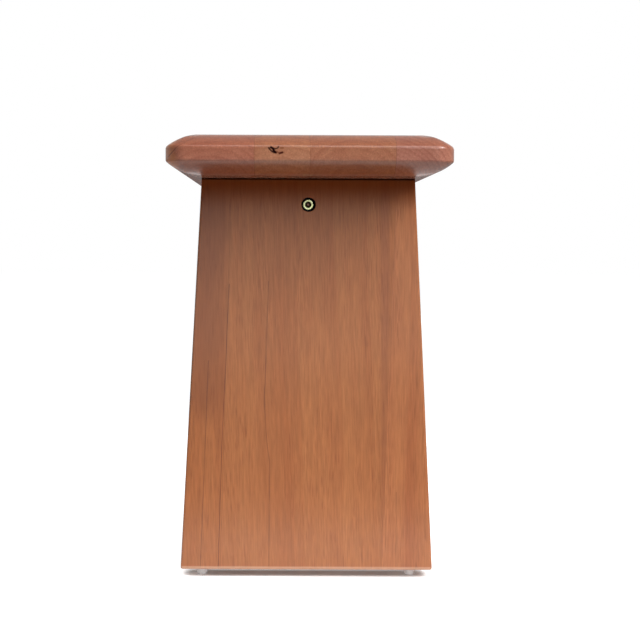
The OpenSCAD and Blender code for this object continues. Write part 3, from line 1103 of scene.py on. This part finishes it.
@dataclass
class SlabLeg:
    """A leg: a tapered slab glued from three boards. Sizes are those of the right leg."""

    outer: float = 470 * MM
    thick: float = 36 * MM
    foot: float = 8 * MM
    height: float = 405 * MM
    top_width: float = 218 * MM
    foot_width: float = 262 * MM
    board: float = 168 * MM
    lean: float = math.radians(1.6)
    arris: float = 2.4 * MM
    recess: Spot = (6.9 * MM, 10 * MM)
    rail_dowel_depth: float = 19 * MM
    seat_dowel_depth: float = 29 * MM
    nail_hole: Spot = (1.25 * MM, 17 * MM)
    widest_hole: float = 6 * MM

    def _blank(self) -> BMesh:
        """Shape the whole slab.

        Returns:
            The slab's mesh, with its arrises rounded everywhere but against the seat.
        """
        half = self.foot_width / 2
        top = self.foot + self.height
        bm = block((self.outer - self.thick, -half, self.foot), (self.outer, half, top))
        for vert in bm.verts:
            if vert.co.z > self.foot + MM:
                vert.co.y *= self.top_width / self.foot_width
        free = [e for e in bm.edges if not all(v.co.z > top - MM for v in e.verts)]
        soften(bm, free, self.arris, 5)
        return bm

    def _drills(self) -> list[Drill]:
        """Give every hole of the right leg.

        Returns:
            The bolt's hole, and the holes of the dowels and nails from the front.
        """
        inner, middle = self.outer - self.thick, self.outer - self.thick / 2
        bolt_steps = (self.recess, (PLAN.bolt_hole, self.thick + CUT_OVER))
        drills = [Drill((self.outer, 0, PLAN.bolt_height), (-1, 0, 0), bolt_steps, 64)]
        rail_step = (PLAN.rail_dowel_hole, self.rail_dowel_depth)
        seat_step = (PLAN.seat_dowel_hole, self.seat_dowel_depth)
        for side in (-1, 1):
            level = PLAN.bolt_height + side * PLAN.rail_dowel_gap
            top = (middle, side * PLAN.seat_dowel_y, self.foot + self.height)
            under = (middle, side * PLAN.glide_y, self.foot)
            drills.append(Drill((inner, 0, level), X_AXIS, (rail_step,)))
            drills.append(Drill(top, (0, 0, -1), (seat_step,)))
            drills.append(Drill(under, Z_AXIS, (self.nail_hole,), 24))
        return drills

    def build(self, shop: Shop, side: str, finishes: dict[str, WoodFinish]) -> None:
        """Part the slab into its boards and finish them.

        Args:
            shop: Where pieces are finished.
            side: right or left.
            finishes: The finish of the front, middle and back board.
        """
        turn = Matrix.Identity(4) if side == "right" else HALF_TURN
        order = ("front", "middle", "back") if side == "right" else ("back", "middle", "front")
        normal = Vector((0, math.cos(self.lean), -math.sin(self.lean)))
        centre = Vector((0, 0, self.foot + self.height / 2))
        planes = [centre - normal * self.board / 2, centre + normal * self.board / 2]
        blank = self._blank()
        for i, part in enumerate(order):
            board = blank.copy()
            if i > 0:
                cut_off(board, planes[i - 1], -normal)
            if i < 2:
                cut_off(board, planes[i], normal)
            low = min(vert.co.y for vert in board.verts) - self.widest_hole
            high = max(vert.co.y for vert in board.verts) + self.widest_hole
            drills = [drill.turned(turn) for drill in self._drills() if low < drill.mouth[1] < high]
            shop.finish(
                f"{side}_{part}_board", moved(board, turn), finishes[part],
                [f"{side}_leg_{part}_board"], "leg_wood", drills,
            )
        blank.free()


@dataclass
class Rail:
    """The rail under the seat, between the legs."""

    length: float = 868 * MM
    depth: float = 60 * MM
    thick: float = 32 * MM
    top: float = PLAN.seat_under
    bevel: float = 3 * MM
    arris: float = 0.6 * MM
    screw_recess: Spot = (5.5 * MM, 34 * MM)
    bolt_depth: float = 41 * MM
    nut_hole: Spot = (5.2 * MM, 26 * MM)
    dowel_depth: float = 23 * MM

    def build(self, shop: Shop, finish: WoodFinish) -> None:
        """Make the rail.

        Args:
            shop: Where pieces are finished.
            finish: Its wood.
        """
        half = Vector((self.length / 2, self.thick / 2, 0))
        under = self.top - self.depth
        bm = block((-half.x, -half.y, under), (half.x, half.y, self.top))
        for level, width, segments in ((under + MM, self.bevel, 1), (self.top - MM, self.arris, 2)):
            lower = [e for e in bm.edges if all(v.co.z < level for v in e.verts)]
            long = [e for e in lower if abs(e.verts[0].co.x - e.verts[1].co.x) > MM]
            soften(bm, long, width, segments)
        steps = (self.screw_recess, (PLAN.screw_hole, self.depth + CUT_OVER))
        drills = [Drill((x, y, under), Z_AXIS, steps) for x, y in PLAN.screws]
        for end in (-1, 1):
            inwards, level = (-end, 0, 0), PLAN.bolt_height
            bolt = (PLAN.bolt_hole, self.bolt_depth)
            dowel = (PLAN.rail_dowel_hole, self.dowel_depth)
            nut = (end * PLAN.nut_x, end * half.y, level)
            drills.append(Drill((end * half.x, 0, level), inwards, (bolt,)))
            drills.append(Drill(nut, (0, -end, 0), (self.nut_hole,)))
            for gap in (-PLAN.rail_dowel_gap, PLAN.rail_dowel_gap):
                drills.append(Drill((end * half.x, 0, level + gap), inwards, (dowel,)))
        shop.finish("rail", bm, finish, ["seat_rail"], "rail_wood", drills)


@dataclass
class Fasteners:
    """Bolts, washers, barrel nuts, dowels and screws."""

    head_seat: float = 461.5 * MM
    head_radius: float = 5.35 * MM
    head_height: float = 6 * MM
    head_round: float = 0.7 * MM
    shank_radius: float = 3 * MM
    bolt_end: float = 394 * MM
    thread_end: float = 22 * MM
    socket_flats: float = 5 * MM
    socket_depth: float = 3.6 * MM
    washer_x: float = 460 * MM
    nut_radius: float = 5 * MM
    nut_half: float = 10 * MM
    nut_bore: Spot = (3.05 * MM, 11 * MM)
    rail_dowel: Spot = (4 * MM, 40 * MM)
    rail_dowel_low: float = 412 * MM
    seat_dowel: Spot = (5 * MM, 50 * MM)
    seat_dowel_low: float = 385 * MM
    flutes: int = 18
    flute_depth: float = 0.35 * MM
    screw_low: float = 387 * MM
    cross_turn: float = 0.4

    def build(
        self, shop: Shop, brass: MetalFinish, black: MetalFinish, steel: MetalFinish,
        beech: WoodFinish, upright_beech: WoodFinish,
    ) -> None:
        """Make all the fasteners.

        Args:
            shop: Where pieces are finished.
            brass: The bolts' finish.
            black: The washers' finish.
            steel: The nuts' and screws' finish.
            beech: The wood of the dowels that lie along the rail.
            upright_beech: The wood of the dowels that stand in the legs.
        """
        lying = join(
            moved(self._dowel(*self.rail_dowel), along_x(self.rail_dowel_low, level))
            for level in (PLAN.bolt_height + side * PLAN.rail_dowel_gap for side in (-1, 1))
        )
        standing = join(
            moved(self._dowel(*self.seat_dowel), Matrix.Translation(foot))
            for foot in (
                (PLAN.leg_middle, side * PLAN.seat_dowel_y, self.seat_dowel_low) for side in (-1, 1)
            )
        )
        screws = join(
            moved(self._screw(), Matrix.Translation((x, y, self.screw_low))) for x, y in PLAN.screws
        )
        for name, bm, finish, node, slot in (
            ("bolts", both_ends(self._bolt()), brass, "leg_bolts", "bolt_metal"),
            ("washers", both_ends(self._washer()), black, "bolt_washers", "washer_metal"),
            ("nuts", both_ends(self._nut()), steel, "barrel_nuts", "steel"),
            ("lying_dowels", both_ends(lying), beech, "rail_dowels", "dowel_wood"),
            ("standing_dowels", both_ends(standing), upright_beech, "seat_dowels", "dowel_wood"),
            ("screws", screws, steel, "seat_screws", "steel"),
        ):
            shop.finish(name, bm, finish, [node], slot)

    def _bolt(self) -> BMesh:
        """Turn the right bolt and cut its hex socket.

        Returns:
            The bolt in its place.
        """
        length = self.head_seat - self.bolt_end
        front = length + self.head_height
        shank, head, tip, dish = self.shank_radius, self.head_radius, 0.8 * MM, 0.5 * MM
        corner = self.socket_flats / math.cos(math.pi / 6) / 2
        groove = ((shank, 0.1 * MM), (shank - 0.5 * MM, 0.5 * MM), (shank, 0.9 * MM))
        line = [(0, 0), (shank - tip, 0), (shank, tip)]
        line += threaded(groove, tip, self.thread_end, 1.0 * MM)[0]
        line += [(shank, length), (head - 0.3 * MM, length), (head, length + 0.3 * MM)]
        for step in range(5):
            angle = step / 4 * math.pi / 2
            back, down = (self.head_round * (1 - f(angle)) for f in (math.cos, math.sin))
            line.append((head - back, front - down))
        line += [(corner + 0.55 * MM, front), (corner, front - dish), (0, front - dish)]
        bm = moved(turned(line), along_x(self.bolt_end, PLAN.bolt_height))
        hexagon = bmesh.new()
        bmesh.ops.create_cone(
            hexagon, cap_ends=True, cap_tris=False, segments=6, radius1=corner, radius2=corner,
            depth=self.socket_depth,
        )
        middle = self.head_seat + self.head_height - self.socket_depth / 2 + 0.02 * MM
        return carved(bm, [moved(hexagon, along_x(middle, PLAN.bolt_height))])

    def _washer(self) -> BMesh:
        """Turn the right bolt's washer.

        Returns:
            The washer in its place.
        """
        inner, outer, thick, soft = 3.3 * MM, 6.5 * MM, 1.5 * MM, 0.25 * MM
        line = [
            (inner, soft), (inner + soft, 0), (outer - soft, 0), (outer, soft),
            (outer, thick - soft), (outer - soft, thick), (inner + soft, thick),
            (inner, thick - soft),
        ]
        return moved(turned(line, closed=True), along_x(self.washer_x, PLAN.bolt_height))

    def _nut(self) -> BMesh:
        """Turn the right barrel nut, and cut its cross hole and its driver slot.

        Returns:
            The nut in its place.
        """
        radius, half, soft, slot = self.nut_radius, self.nut_half, 0.5 * MM, 0.7 * MM
        line = [
            (0, -half), (radius - soft, -half), (radius, soft - half), (radius, half - soft),
            (radius - soft, half), (0, half),
        ]
        x, z = PLAN.nut_x, PLAN.bolt_height
        place = Matrix.Translation((x, 0, z)) @ Matrix.Rotation(-math.pi / 2, 4, "X")
        bore = Drill((x + radius, 0, z), (-1, 0, 0), (self.nut_bore,))
        reach = radius + MM
        blade = block((x - reach, half - 1.2 * MM, z - slot), (x + reach, half + MM, z + slot))
        return carved(moved(turned(line), place), [bore.cutter(), blade])

    def _dowel(self, radius: float, length: float) -> BMesh:
        """Make a fluted dowel that stands on height 0.

        Args:
            radius: Its radius over the ridges.
            length: Its length.

        Returns:
            The dowel.
        """
        bm = bmesh.new()
        bmesh.ops.create_cone(
            bm, cap_ends=True, cap_tris=False, segments=2 * self.flutes, radius1=radius,
            radius2=radius, depth=length,
        )
        bmesh.ops.translate(bm, vec=(0, 0, length / 2), verts=bm.verts)
        for vert in bm.verts:
            step = round(math.atan2(vert.co.y, vert.co.x) / math.tau * 2 * self.flutes)
            if step % 2:
                vert.co.x *= 1 - self.flute_depth / radius
                vert.co.y *= 1 - self.flute_depth / radius
        for cap in [f for f in bm.faces if len(f.verts) > 4]:
            way = 1 if cap.calc_center_median().z > length / 2 else -1
            end = length if way > 0 else 0
            bmesh.ops.inset_individual(
                bm, faces=[cap], thickness=0.9 * MM, depth=0.0, use_even_offset=True,
            )
            for vert in bm.verts:
                if vert not in cap.verts and abs(vert.co.z - end) < MERGE_DIST:
                    vert.co.z -= way * 1.0 * MM
        return bm

    def _screw(self) -> BMesh:
        """Turn a pan head screw and cut its cross.

        Returns:
            The screw, point up, with its head's underside on height 0.
        """
        radius, core, length, point = 2.5 * MM, 1.9 * MM, 50 * MM, 6 * MM
        head, high = 4.75 * MM, 3.5 * MM
        line = [
            (0, -high), (head - 1.6 * MM, -high), (head - 0.5 * MM, -high + 0.5 * MM),
            (head, -high + 1.3 * MM), (head, -0.3 * MM), (head - 0.3 * MM, 0), (radius, 0),
            (radius, 14 * MM),
        ]
        turn = ((core, 0.0), (core, 0.9 * MM), (radius, 1.2 * MM))
        thread, reached = threaded(turn, 14.5 * MM, length - point, 1.8 * MM)
        bm = turned(line + thread + [(core, reached), (0, length)], 24)
        low, top = (-2.4 * MM, -0.5 * MM, -high - MM), (2.4 * MM, 0.5 * MM, 1.7 * MM - high)
        arms = [
            moved(block(low, top), Matrix.Rotation(angle + self.cross_turn, 4, "Z"))
            for angle in (0, math.pi / 2)
        ]
        return carved(bm, arms)


@dataclass
class Glides:
    """The plastic glides under the legs, and the nails that hold them."""

    height: float = 8 * MM
    top_radius: float = 7.2 * MM
    foot_radius: float = 5 * MM
    rim: float = 2 * MM
    recess_radius: float = 2.8 * MM
    recess_depth: float = 3.5 * MM
    nail_radius: float = 1.2 * MM
    nail_room: float = 0.05 * MM
    nail_head: float = 2.5 * MM
    head_height: float = 1 * MM
    nail_top: float = 24 * MM

    def build(self, shop: Shop, plastic: PlasticFinish, steel: MetalFinish) -> None:
        """Make the glides and their nails.

        Args:
            shop: Where pieces are finished.
            plastic: The glides' finish.
            steel: The nails' finish.
        """
        bore, recess = self.nail_radius + self.nail_room, self.recess_radius
        foot, top, high = self.foot_radius, self.top_radius, self.height
        rim = high - self.rim
        outline = [
            (bore, high), (bore, self.recess_depth), (recess, self.recess_depth),
            (recess, 0.25 * MM), (recess + 0.25 * MM, 0), (foot - 0.5 * MM, 0),
            (foot - 0.15 * MM, 0.15 * MM), (foot + 0.1 * MM, 0.6 * MM),
            (top - 0.35 * MM, rim - 0.7 * MM), (top - 0.08 * MM, rim - 0.2 * MM),
            (top, rim + 0.4 * MM), (top, high - 0.4 * MM),
            (top - 0.12 * MM, high - 0.12 * MM), (top - 0.4 * MM, high),
        ]
        glide = turned(outline, 64, closed=True)
        shop.finish("glides", self._spread(glide), plastic, ["leg_glides"], "glide_plastic")
        head, low = self.nail_head, self.recess_depth - self.head_height
        line = [
            (0, low), (head - 0.7 * MM, low), (head - 0.2 * MM, low + 0.2 * MM),
            (head, low + 0.6 * MM), (head, low + 0.9 * MM),
            (head - 0.1 * MM, low + self.head_height), (self.nail_radius, low + self.head_height),
            (self.nail_radius, self.nail_top - 2.4 * MM), (0, self.nail_top),
        ]
        shop.finish("nails", self._spread(turned(line, 24)), steel, ["glide_nails"], "steel")

    @staticmethod
    def _spread(bm: BMesh) -> BMesh:
        """Put one of a part at each glide's place, and free the part.

        Args:
            bm: The part, at the origin.

        Returns:
            The four of them.
        """
        places = [(x * PLAN.leg_middle, y * PLAN.glide_y, 0.0) for x in (-1, 1) for y in (-1, 1)]
        parts = [moved(bm.copy(), Matrix.Translation(place)) for place in places]
        bm.free()
        return join(parts)


@dataclass(frozen=True)
class PhotoCamera:
    """The camera, fitted to the photograph's edges: turns in degrees, focus and shift in pixels."""

    place: Point = (1.76416, -0.0256, 0.34875)
    pitch: float = 3.556
    roll: float = 0.243
    focus: float = 1262.7
    shift: float = 37.3
    sight: Spot = (0.02, 60.0)

    def build(self) -> None:
        """Make the camera and look through it."""
        pitch, roll = math.radians(self.pitch), math.radians(self.roll)
        look = Vector((-math.cos(pitch), 0.0, -math.sin(pitch)))
        level = look.cross(Vector(Z_AXIS)).normalized()
        above = level.cross(look)
        right = math.cos(roll) * level + math.sin(roll) * above
        up = -math.sin(roll) * level + math.cos(roll) * above
        data = bpy.data.cameras.new("photo_camera")
        data.sensor_width = SENSOR
        data.lens = self.focus * SENSOR / PHOTO_SIDE
        data.shift_x = self.shift / PHOTO_SIDE
        data.clip_start, data.clip_end = self.sight
        camera = put_in("photo_camera", data)
        turn = Matrix((right, up, -look)).transposed().to_4x4()
        camera.matrix_world = Matrix.Translation(self.place) @ turn
        bpy.context.scene.camera = camera


@dataclass(frozen=True)
class Lamp:
    """One soft round lamp. The lacquer mirrors it or not."""

    name: str
    place: Point
    power: float
    aim: Point = (0.5, 0.0, 0.25)
    size: float = 1.6
    mirrored: bool = True

    def build(self) -> None:
        """Hang the lamp."""
        data = bpy.data.lights.new(self.name, "AREA")
        data.shape = "DISK"
        data.size = self.size
        data.energy = self.power
        lamp = put_in(self.name, data)
        lamp.location = self.place
        way = Vector(self.aim) - Vector(self.place)
        lamp.rotation_euler = way.to_track_quat("-Z", "Y").to_euler()
        lamp.visible_camera = False
        lamp.visible_glossy = self.mirrored


@dataclass
class Studio:
    """A pale floor, a white backdrop and soft light.

    The lacquer mirrors the floor and the world at strengths of their own, as a room that is
    brighter at the horizon and darker above. A pair of numbers is where a change starts and ends.
    """

    lamps: tuple[Lamp, ...] = (
        Lamp("front_lamp", (3.46, 1.08, 2.38), 17.5),
        Lamp("right_lamp", (2.31, 2.58, 2.38), 69.0),
        Lamp("high_lamp", (1.96, 2.08, 3.07), 48.0),
        Lamp("top_lamp", (2.05, 0.35, 3.69), 25.0),
        Lamp("low_lamp", (3.81, 1.20, 1.67), 21.0),
        Lamp("foot_lamp", (0.85, 0.0, 0.06), 0.4, (0.47, 0.0, 0.03), 0.3, mirrored=False),
        Lamp("side_lamp", (-1.2, -3.8, 0.8), 48.0, (0.0, 0.0, 0.25), 1.4, mirrored=False),
        Lamp("rear_lamp", (-4.2, 1.0, 0.8), 44.0, (-0.4, 0.0, 0.25), 1.4, mirrored=False),
    )
    ambient: float = 0.02
    floor_size: float = 12.0
    floor_tone: float = 0.14
    sheet: Point = (0.57, 0.23, 0.0)
    sheet_tone: float = 0.76
    sheet_blend: float = 0.25
    shelter_reach: float = 0.05
    shelter: Spot = (0.12, 0.62)
    floor_near: float = 0.9
    floor_middle: float = 0.5
    floor_ahead: float = 1.25
    floor_behind: float = 0.4
    near_to_middle: Spot = (0.0, 0.55)
    middle_to_ahead: Spot = (1.4, 4.0)
    behind_to_middle: Spot = (-2.0, -0.6)
    horizon: float = 0.1
    wall: float = 0.8
    ceiling: float = 0.5
    front_horizon: float = 1.3
    front: float = 0.25
    horizon_to_wall_back: Spot = (-0.97, -0.8)
    horizon_to_wall_up: Spot = (0.08, 0.18)
    wall_to_ceiling: Spot = (0.28, 0.6)
    front_rise: Spot = (0.01, 0.04)
    back_to_front: Spot = (-0.2, 0.5)

    def build(self) -> None:
        """Set the floor, the world and the lamps."""
        self._floor()
        self._world()
        for lamp in self.lamps:
            lamp.build()
        bpy.context.scene.view_settings.view_transform = "Standard"

    @staticmethod
    def _seen_white(graph: Graph, share: Value) -> Socket:
        """Give the strength of the white that rays see, without its lighting the bench.

        Args:
            graph: The graph of the floor or the world.
            share: What glossy and transmission rays see.

        Returns:
            1 for camera rays, the share for glossy and transmission rays, and 0 for the rest.
        """
        path = graph.add("ShaderNodeLightPath").outputs
        mirrored = graph.math("MAXIMUM", path["Is Glossy Ray"], path["Is Transmission Ray"])
        return graph.math("MAXIMUM", path["Is Camera Ray"], graph.math("MULTIPLY", mirrored, share))

    def _floor(self) -> None:
        """Lay the floor, with a paler sheet under the bench. It looks white but under the legs."""
        bm = bmesh.new()
        bmesh.ops.create_grid(bm, x_segments=1, y_segments=1, size=self.floor_size)
        floor = put_in("floor", as_mesh("floor", bm))
        material, graph, where = new_material("studio_floor")
        beyond = graph.vector("SUBTRACT", graph.vector("ABSOLUTE", where["Object"]), self.sheet)
        away = graph.vector("LENGTH", graph.vector("MAXIMUM", beyond, (0.0, 0.0, 0.0)))
        tone = graph.smooth(away, 0.0, self.sheet_blend, self.sheet_tone, self.floor_tone)
        matt = graph.fill(graph.add("ShaderNodeBsdfDiffuse"), Color=tone)
        shelter = graph.add("ShaderNodeAmbientOcclusion", samples=16)
        graph.fill(shelter, Distance=self.shelter_reach)
        open_sky = graph.smooth(shelter.outputs["AO"], *self.shelter)
        along = graph.vector("DOT_PRODUCT", where["Object"], X_AXIS)
        near = graph.smooth(away, *self.near_to_middle, self.floor_near, self.floor_middle)
        gain = self.floor_ahead - self.floor_middle
        share = graph.math("ADD", near, graph.smooth(along, *self.middle_to_ahead, 0.0, gain))
        behind = graph.smooth(along, *self.behind_to_middle, self.floor_behind, 1.0)
        seen = self._seen_white(graph, graph.math("MULTIPLY", share, behind))
        glow = graph.add("ShaderNodeEmission")
        graph.fill(glow, Strength=graph.math("MULTIPLY", open_sky, seen))
        both = graph.add("ShaderNodeAddShader")
        graph.feed(both.inputs[0], matt.outputs["BSDF"])
        graph.feed(both.inputs[1], glow.outputs["Emission"])
        graph.fill(graph.add("ShaderNodeOutputMaterial"), Surface=both.outputs["Shader"])
        floor.data.materials.append(material)

    def _world(self) -> None:
        """Light the world evenly, and show it as white."""
        world = bpy.data.worlds.new("studio_world")
        world.use_nodes = True
        graph = Graph(world.node_tree)
        way = graph.add("ShaderNodeTexCoord").outputs["Generated"]
        up = graph.vector("DOT_PRODUCT", way, Z_AXIS)
        ahead = graph.vector("DOT_PRODUCT", way, X_AXIS)
        low = graph.smooth(ahead, *self.horizon_to_wall_back, self.horizon, self.wall)
        low = graph.smooth(up, *self.horizon_to_wall_up, low, self.wall)
        back = graph.smooth(up, *self.wall_to_ceiling, low, self.ceiling)
        front = graph.smooth(up, *self.front_rise, self.front_horizon, self.front)
        change = graph.math("SUBTRACT", front, back)
        share = graph.math("MULTIPLY_ADD", graph.smooth(ahead, *self.back_to_front), change, back)
        sky = graph.fill(
            graph.add("ShaderNodeBackground"), Color=(1.0, 1.0, 1.0),
            Strength=graph.math("MAXIMUM", self._seen_white(graph, share), self.ambient),
        )
        graph.fill(graph.add("ShaderNodeOutputWorld"), Surface=sky.outputs["Background"])
        bpy.context.scene.world = world


def through(*points: Spot) -> tuple[Point, ...]:
    """Give points of a mark that runs right through a piece along X, from millimetres."""
    return tuple((0.0, y * MM, z * MM) for y, z in points)


def at_end(*points: Spot) -> tuple[Point, ...]:
    """Give points of a mark on the seat's right end face, from millimetres."""
    return tuple((Seat.length / 2, y * MM, z * MM) for y, z in points)


def crack_marks() -> list[Mark]:
    """Give the small dark crack in the second stave's end, stretch by stretch.

    Returns:
        The marks.
    """
    dark = srgb(26, 8, 10)
    rows = (
        (1.5, dark, 0.9, ((-39.7, 438.1), (-38.2, 436.4), (-36.2, 434.4), (-34.1, 433.5))),
        (2.25, dark, 1.0, ((-37.3, 438.7), (-35.4, 437.2), (-34.7, 435.2), (-32.8, 433.7))),
        (1.625, dark, 0.8, ((-33.6, 437.2), (-31.4, 437.9), (-30.2, 439.3))),
        (1.25, dark, 0.6, ((-39.1, 438.1), (-36.8, 438.6), (-34.5, 437.9))),
        (2.0, srgb(60, 16, 16), 0.95, ((-29.3, 432.9), (-26.6, 433.7))),
        (1.5, srgb(110, 56, 40), 0.7, ((-32.0, 434.6), (-29.3, 433.1))),
        (1.875, srgb(120, 68, 42), 0.7, ((-28.2, 437.9), (-26.0, 438.1))),
    )
    return [
        Mark(at_end(*points), width * MM, colour, strength, 0.5, 0.6 * MM, 0.0, sunk=0.8, dull=1.0)
        for width, colour, strength, points in rows
    ]


def seat_finishes() -> list[WoodFinish]:
    """Give the finish of each stave.

    Returns:
        The finishes, from the front.
    """
    # A pale pinkish line painted along the underside's inner crease, at the right end only: a
    # painted highlight.
    painted_crease_highlight = Mark(
        ((0.497, -0.12, 0.413), (0.497, 0.12, 0.413)), 6 * MM, srgb(186, 138, 120), 0.5,
        wobble=0.2 * MM, uneven=0.2,
    )
    # A paler, more orange strip painted along the first stave's whole front edge: painted light.
    painted_light_front_edge = Mark(
        through((-134, 424), (-139.5, 436), (-136, 448)), 13 * MM, srgb(214, 132, 76), 0.65,
        0.6, 1 * MM, 0.2,
    )
    corner_ring = Mark(
        through((-112, 448.5), (-117, 445.5), (-126.5, 439.5), (-136.5, 429.5)), 1 * MM,
        srgb(96, 50, 36), 0.6, 0.7, 1.2 * MM,
    )
    first, second, third = (
        Mark(through((y, 400), (y, 460)), 0.5 * MM, GLUE, 0.5, uneven=0.5) for y in (-53.5, 0, 82.5)
    )
    rows = (
        ((174, 101, 69), (148, 76, 50), (-95, 385), 0.31, 7, 0.35,
         (painted_light_front_edge, corner_ring, painted_crease_highlight, first)),
        ((177, 109, 70), (152, 83, 52), (-30, 360), 1.73, 6, 0.4,
         (painted_crease_highlight, first, second, *crack_marks())),
        ((173, 104, 67), (147, 79, 50), (43, 395), 3.19, 8, 0.35, (painted_crease_highlight, second, third)),
        ((176, 107, 77), (144, 76, 54), (70, 385), 5.07, 4.2, 0.4, (painted_crease_highlight, third)),
    )
    return [
        WoodFinish(
            f"stave_{number}_wood", srgb(*early), srgb(*late), GrainWay.ALONG_SEAT,
            (pith[0] * MM, pith[1] * MM), start, ring_gap=gap * MM, ring_depth=depth,
            # The staves' end tint is a painted sheen in place of the lacquer's reflection.
            end_tone_and_sheen=(1.12, 1.37, 1.78), coat_roughness=0.18, marks=marks,
        )
        for number, (early, late, pith, start, gap, depth, marks) in enumerate(rows, 1)
    ]


def leg_finishes() -> dict[str, dict[str, WoodFinish]]:
    """Give the finish of every leg board.

    Returns:
        The finishes by side, and then by front, middle and back.
    """
    streak = Mark(
        through((-80.6, 305), (-84, 225), (-87.8, 142), (-90.5, 48), (-91.6, 8)), 0.8 * MM, GLUE,
        0.65, uneven=0.35,
    )
    glue = Mark(through((-78.4, 413), (-89.6, 8)), 0.8 * MM, GLUE, 0.25, uneven=0.6)
    far_glue = Mark(through((89.7, 413), (84.6, 180), (81.4, 8)), 0.6 * MM, GLUE, 0.3, uneven=0.8)
    thin = Mark(through((-101.9, 226), (-104.4, 160), (-110.2, 10)), 0.9 * MM, GLUE, 0.5, 0.8)
    cloud = Mark(
        through((-99, 380), (-104, 290), (-105, 188)), 36 * MM, srgb(132, 72, 42), 0.55, 0.95,
        4 * MM, 0.0,
    )
    curve = Mark(
        through((-40.2, 308), (-43.4, 204), (-44.3, 183), (-41.5, 142), (-38.4, 121), (-39, 12)),
        1.1 * MM, GLUE, 0.45, 0.8, uneven=0.5,
    )
    band = Mark(
        through((78.5, 413), (80.6, 102), (81.2, 8)), 8 * MM, srgb(135, 75, 50), 0.35,
        wobble=1 * MM, uneven=0.3,
    )
    right_line = Mark(through((92.8, 90), (93.1, 12)), 0.8 * MM, GLUE, 0.4, 0.8, uneven=0.5)
    top = through((-113, 413), (113, 413))
    # A near-black line painted along the leg's top edge: a painted contact shadow where the leg
    # meets the seat, with the coat taken off.
    painted_contact_shadow = Mark(top, 3.2 * MM, srgb(30, 6, 2), 0.95, 0.6, 0.2 * MM, 0.0, dull=1.0)
    # A broad, darker and more orange band painted down from the leg's top: painted shade under the
    # seat, with most of the coat taken off.
    painted_shade_under_seat = Mark(top, 40 * MM, srgb(130, 58, 10), 0.75, 0.8, 0.0, 0.0, dull=0.9)
    # A paler line painted along the arris at the leg's foot: a painted highlight.
    painted_foot_highlight = Mark(
        through((-131, 9.2), (131, 9.2)), 4.4 * MM, srgb(226, 178, 148), 0.6, 0.45, 0.3 * MM, 0.1,
    )
    # A near-black ring painted round the bolt's recess, right through the board: painted shade in
    # the recess, with the coat taken off.
    recess = Mark(
        through((0.1, 386.4), (0.6, 386.4)), 14.4 * MM, srgb(16, 6, 3), 1.0, 0.04, 0.0, 0.0,
        dull=1.0,
    )
    common = (painted_foot_highlight, painted_shade_under_seat, painted_contact_shadow)
    usual = (183, 115, 66), (157, 87, 46)
    rows = (
        ("right", "front", (184, 114, 64), (158, 87, 46), (-200, 40), 0.4, 5, 0.3, 0.0, 1.0,
         (cloud, glue, streak, thin, *common)),
        ("right", "middle", *usual, (-60, 90), 2.9, 6.5, 0.3, 0.03, 1.0,
         (glue, streak, curve, band, far_glue, *common, recess)),
        ("right", "back", (189, 119, 71), (162, 90, 50), (220, 60), 4.4, 5, 0.3, 0.0, 1.0,
         (far_glue, right_line, *common)),
        ("left", "front", *usual, (-160, -30), 7.7, 5.5, 0.4, 0.0, 0.9, common),
        ("left", "middle", (181, 109, 62), (152, 82, 43), (40, -70), 9.1, 5.5, 0.4, 0.0, 0.9,
         (*common, recess)),
        ("left", "back", *usual, (190, -50), 11.3, 5.5, 0.4, 0.0, 0.9, common),
    )
    finishes: dict[str, dict[str, WoodFinish]] = {"right": {}, "left": {}}
    for side, part, early, late, pith, start, gap, depth, tilt, coat, marks in rows:
        finishes[side][part] = WoodFinish(
            f"{side}_{part}_wood", srgb(*early), srgb(*late), GrainWay.UPRIGHT,
            (pith[0] * MM, pith[1] * MM), start, ring_gap=gap * MM, ring_depth=depth, tilt=tilt,
            coat=coat, marks=marks,
        )
    return finishes


def main() -> None:
    """Build the bench, dress it and set the studio round it."""
    logging.basicConfig(level=logging.INFO, format="%(message)s")
    PhotoCamera().build()
    Studio().build()
    shop = Shop()
    Seat().build(shop, seat_finishes())
    for side, finishes in leg_finishes().items():
        SlabLeg().build(shop, side, finishes)
    Rail().build(shop, WoodFinish(
        "rail_wood", srgb(184, 112, 63), srgb(152, 84, 45), GrainWay.ALONG_SEAT,
        (10 * MM, 300 * MM), 6.1,
    ))
    beech = {
        "early": srgb(226, 196, 150), "late": srgb(204, 168, 122), "pore": srgb(160, 120, 84),
        "coat": 0.0, "gloss": 0.6,
    }
    Fasteners().build(
        shop,
        MetalFinish(
            "bright_brass", srgb(248, 253, 200), srgb(236, 242, 172), 0.2, 0.85,
            # The socket colours are painted shade, and a painted reflection at the core.
            socket_shade=srgb(40, 32, 8), socket_core_reflection=srgb(150, 112, 104),
            deep_axis=(0.0, 0.0, PLAN.bolt_height), deep_radius=3.2 * MM, deep_face=467.45 * MM,
        ),
        MetalFinish("black_metal", srgb(7, 6, 6), srgb(15, 14, 13), 0.6, 0.0),
        MetalFinish("bright_steel", srgb(176, 178, 182), srgb(150, 150, 152), 0.3),
        WoodFinish(
            "beech_lying", way=GrainWay.ALONG_SEAT, pith=(30 * MM, 360 * MM), start=0.2, **beech,
        ),
        WoodFinish(
            "beech_standing", way=GrainWay.UPRIGHT, pith=(50 * MM, 440 * MM), start=0.9, **beech,
        ),
    )
    Glides().build(
        shop,
        PlasticFinish("milky_plastic", srgb(254, 254, 255), srgb(250, 248, 250)),
        MetalFinish("nail_steel", srgb(168, 168, 172), srgb(140, 140, 142), 0.34),
    )
    LOG.info("%d pieces", len(shop.pieces))


if __name__ == "__main__":
    main()
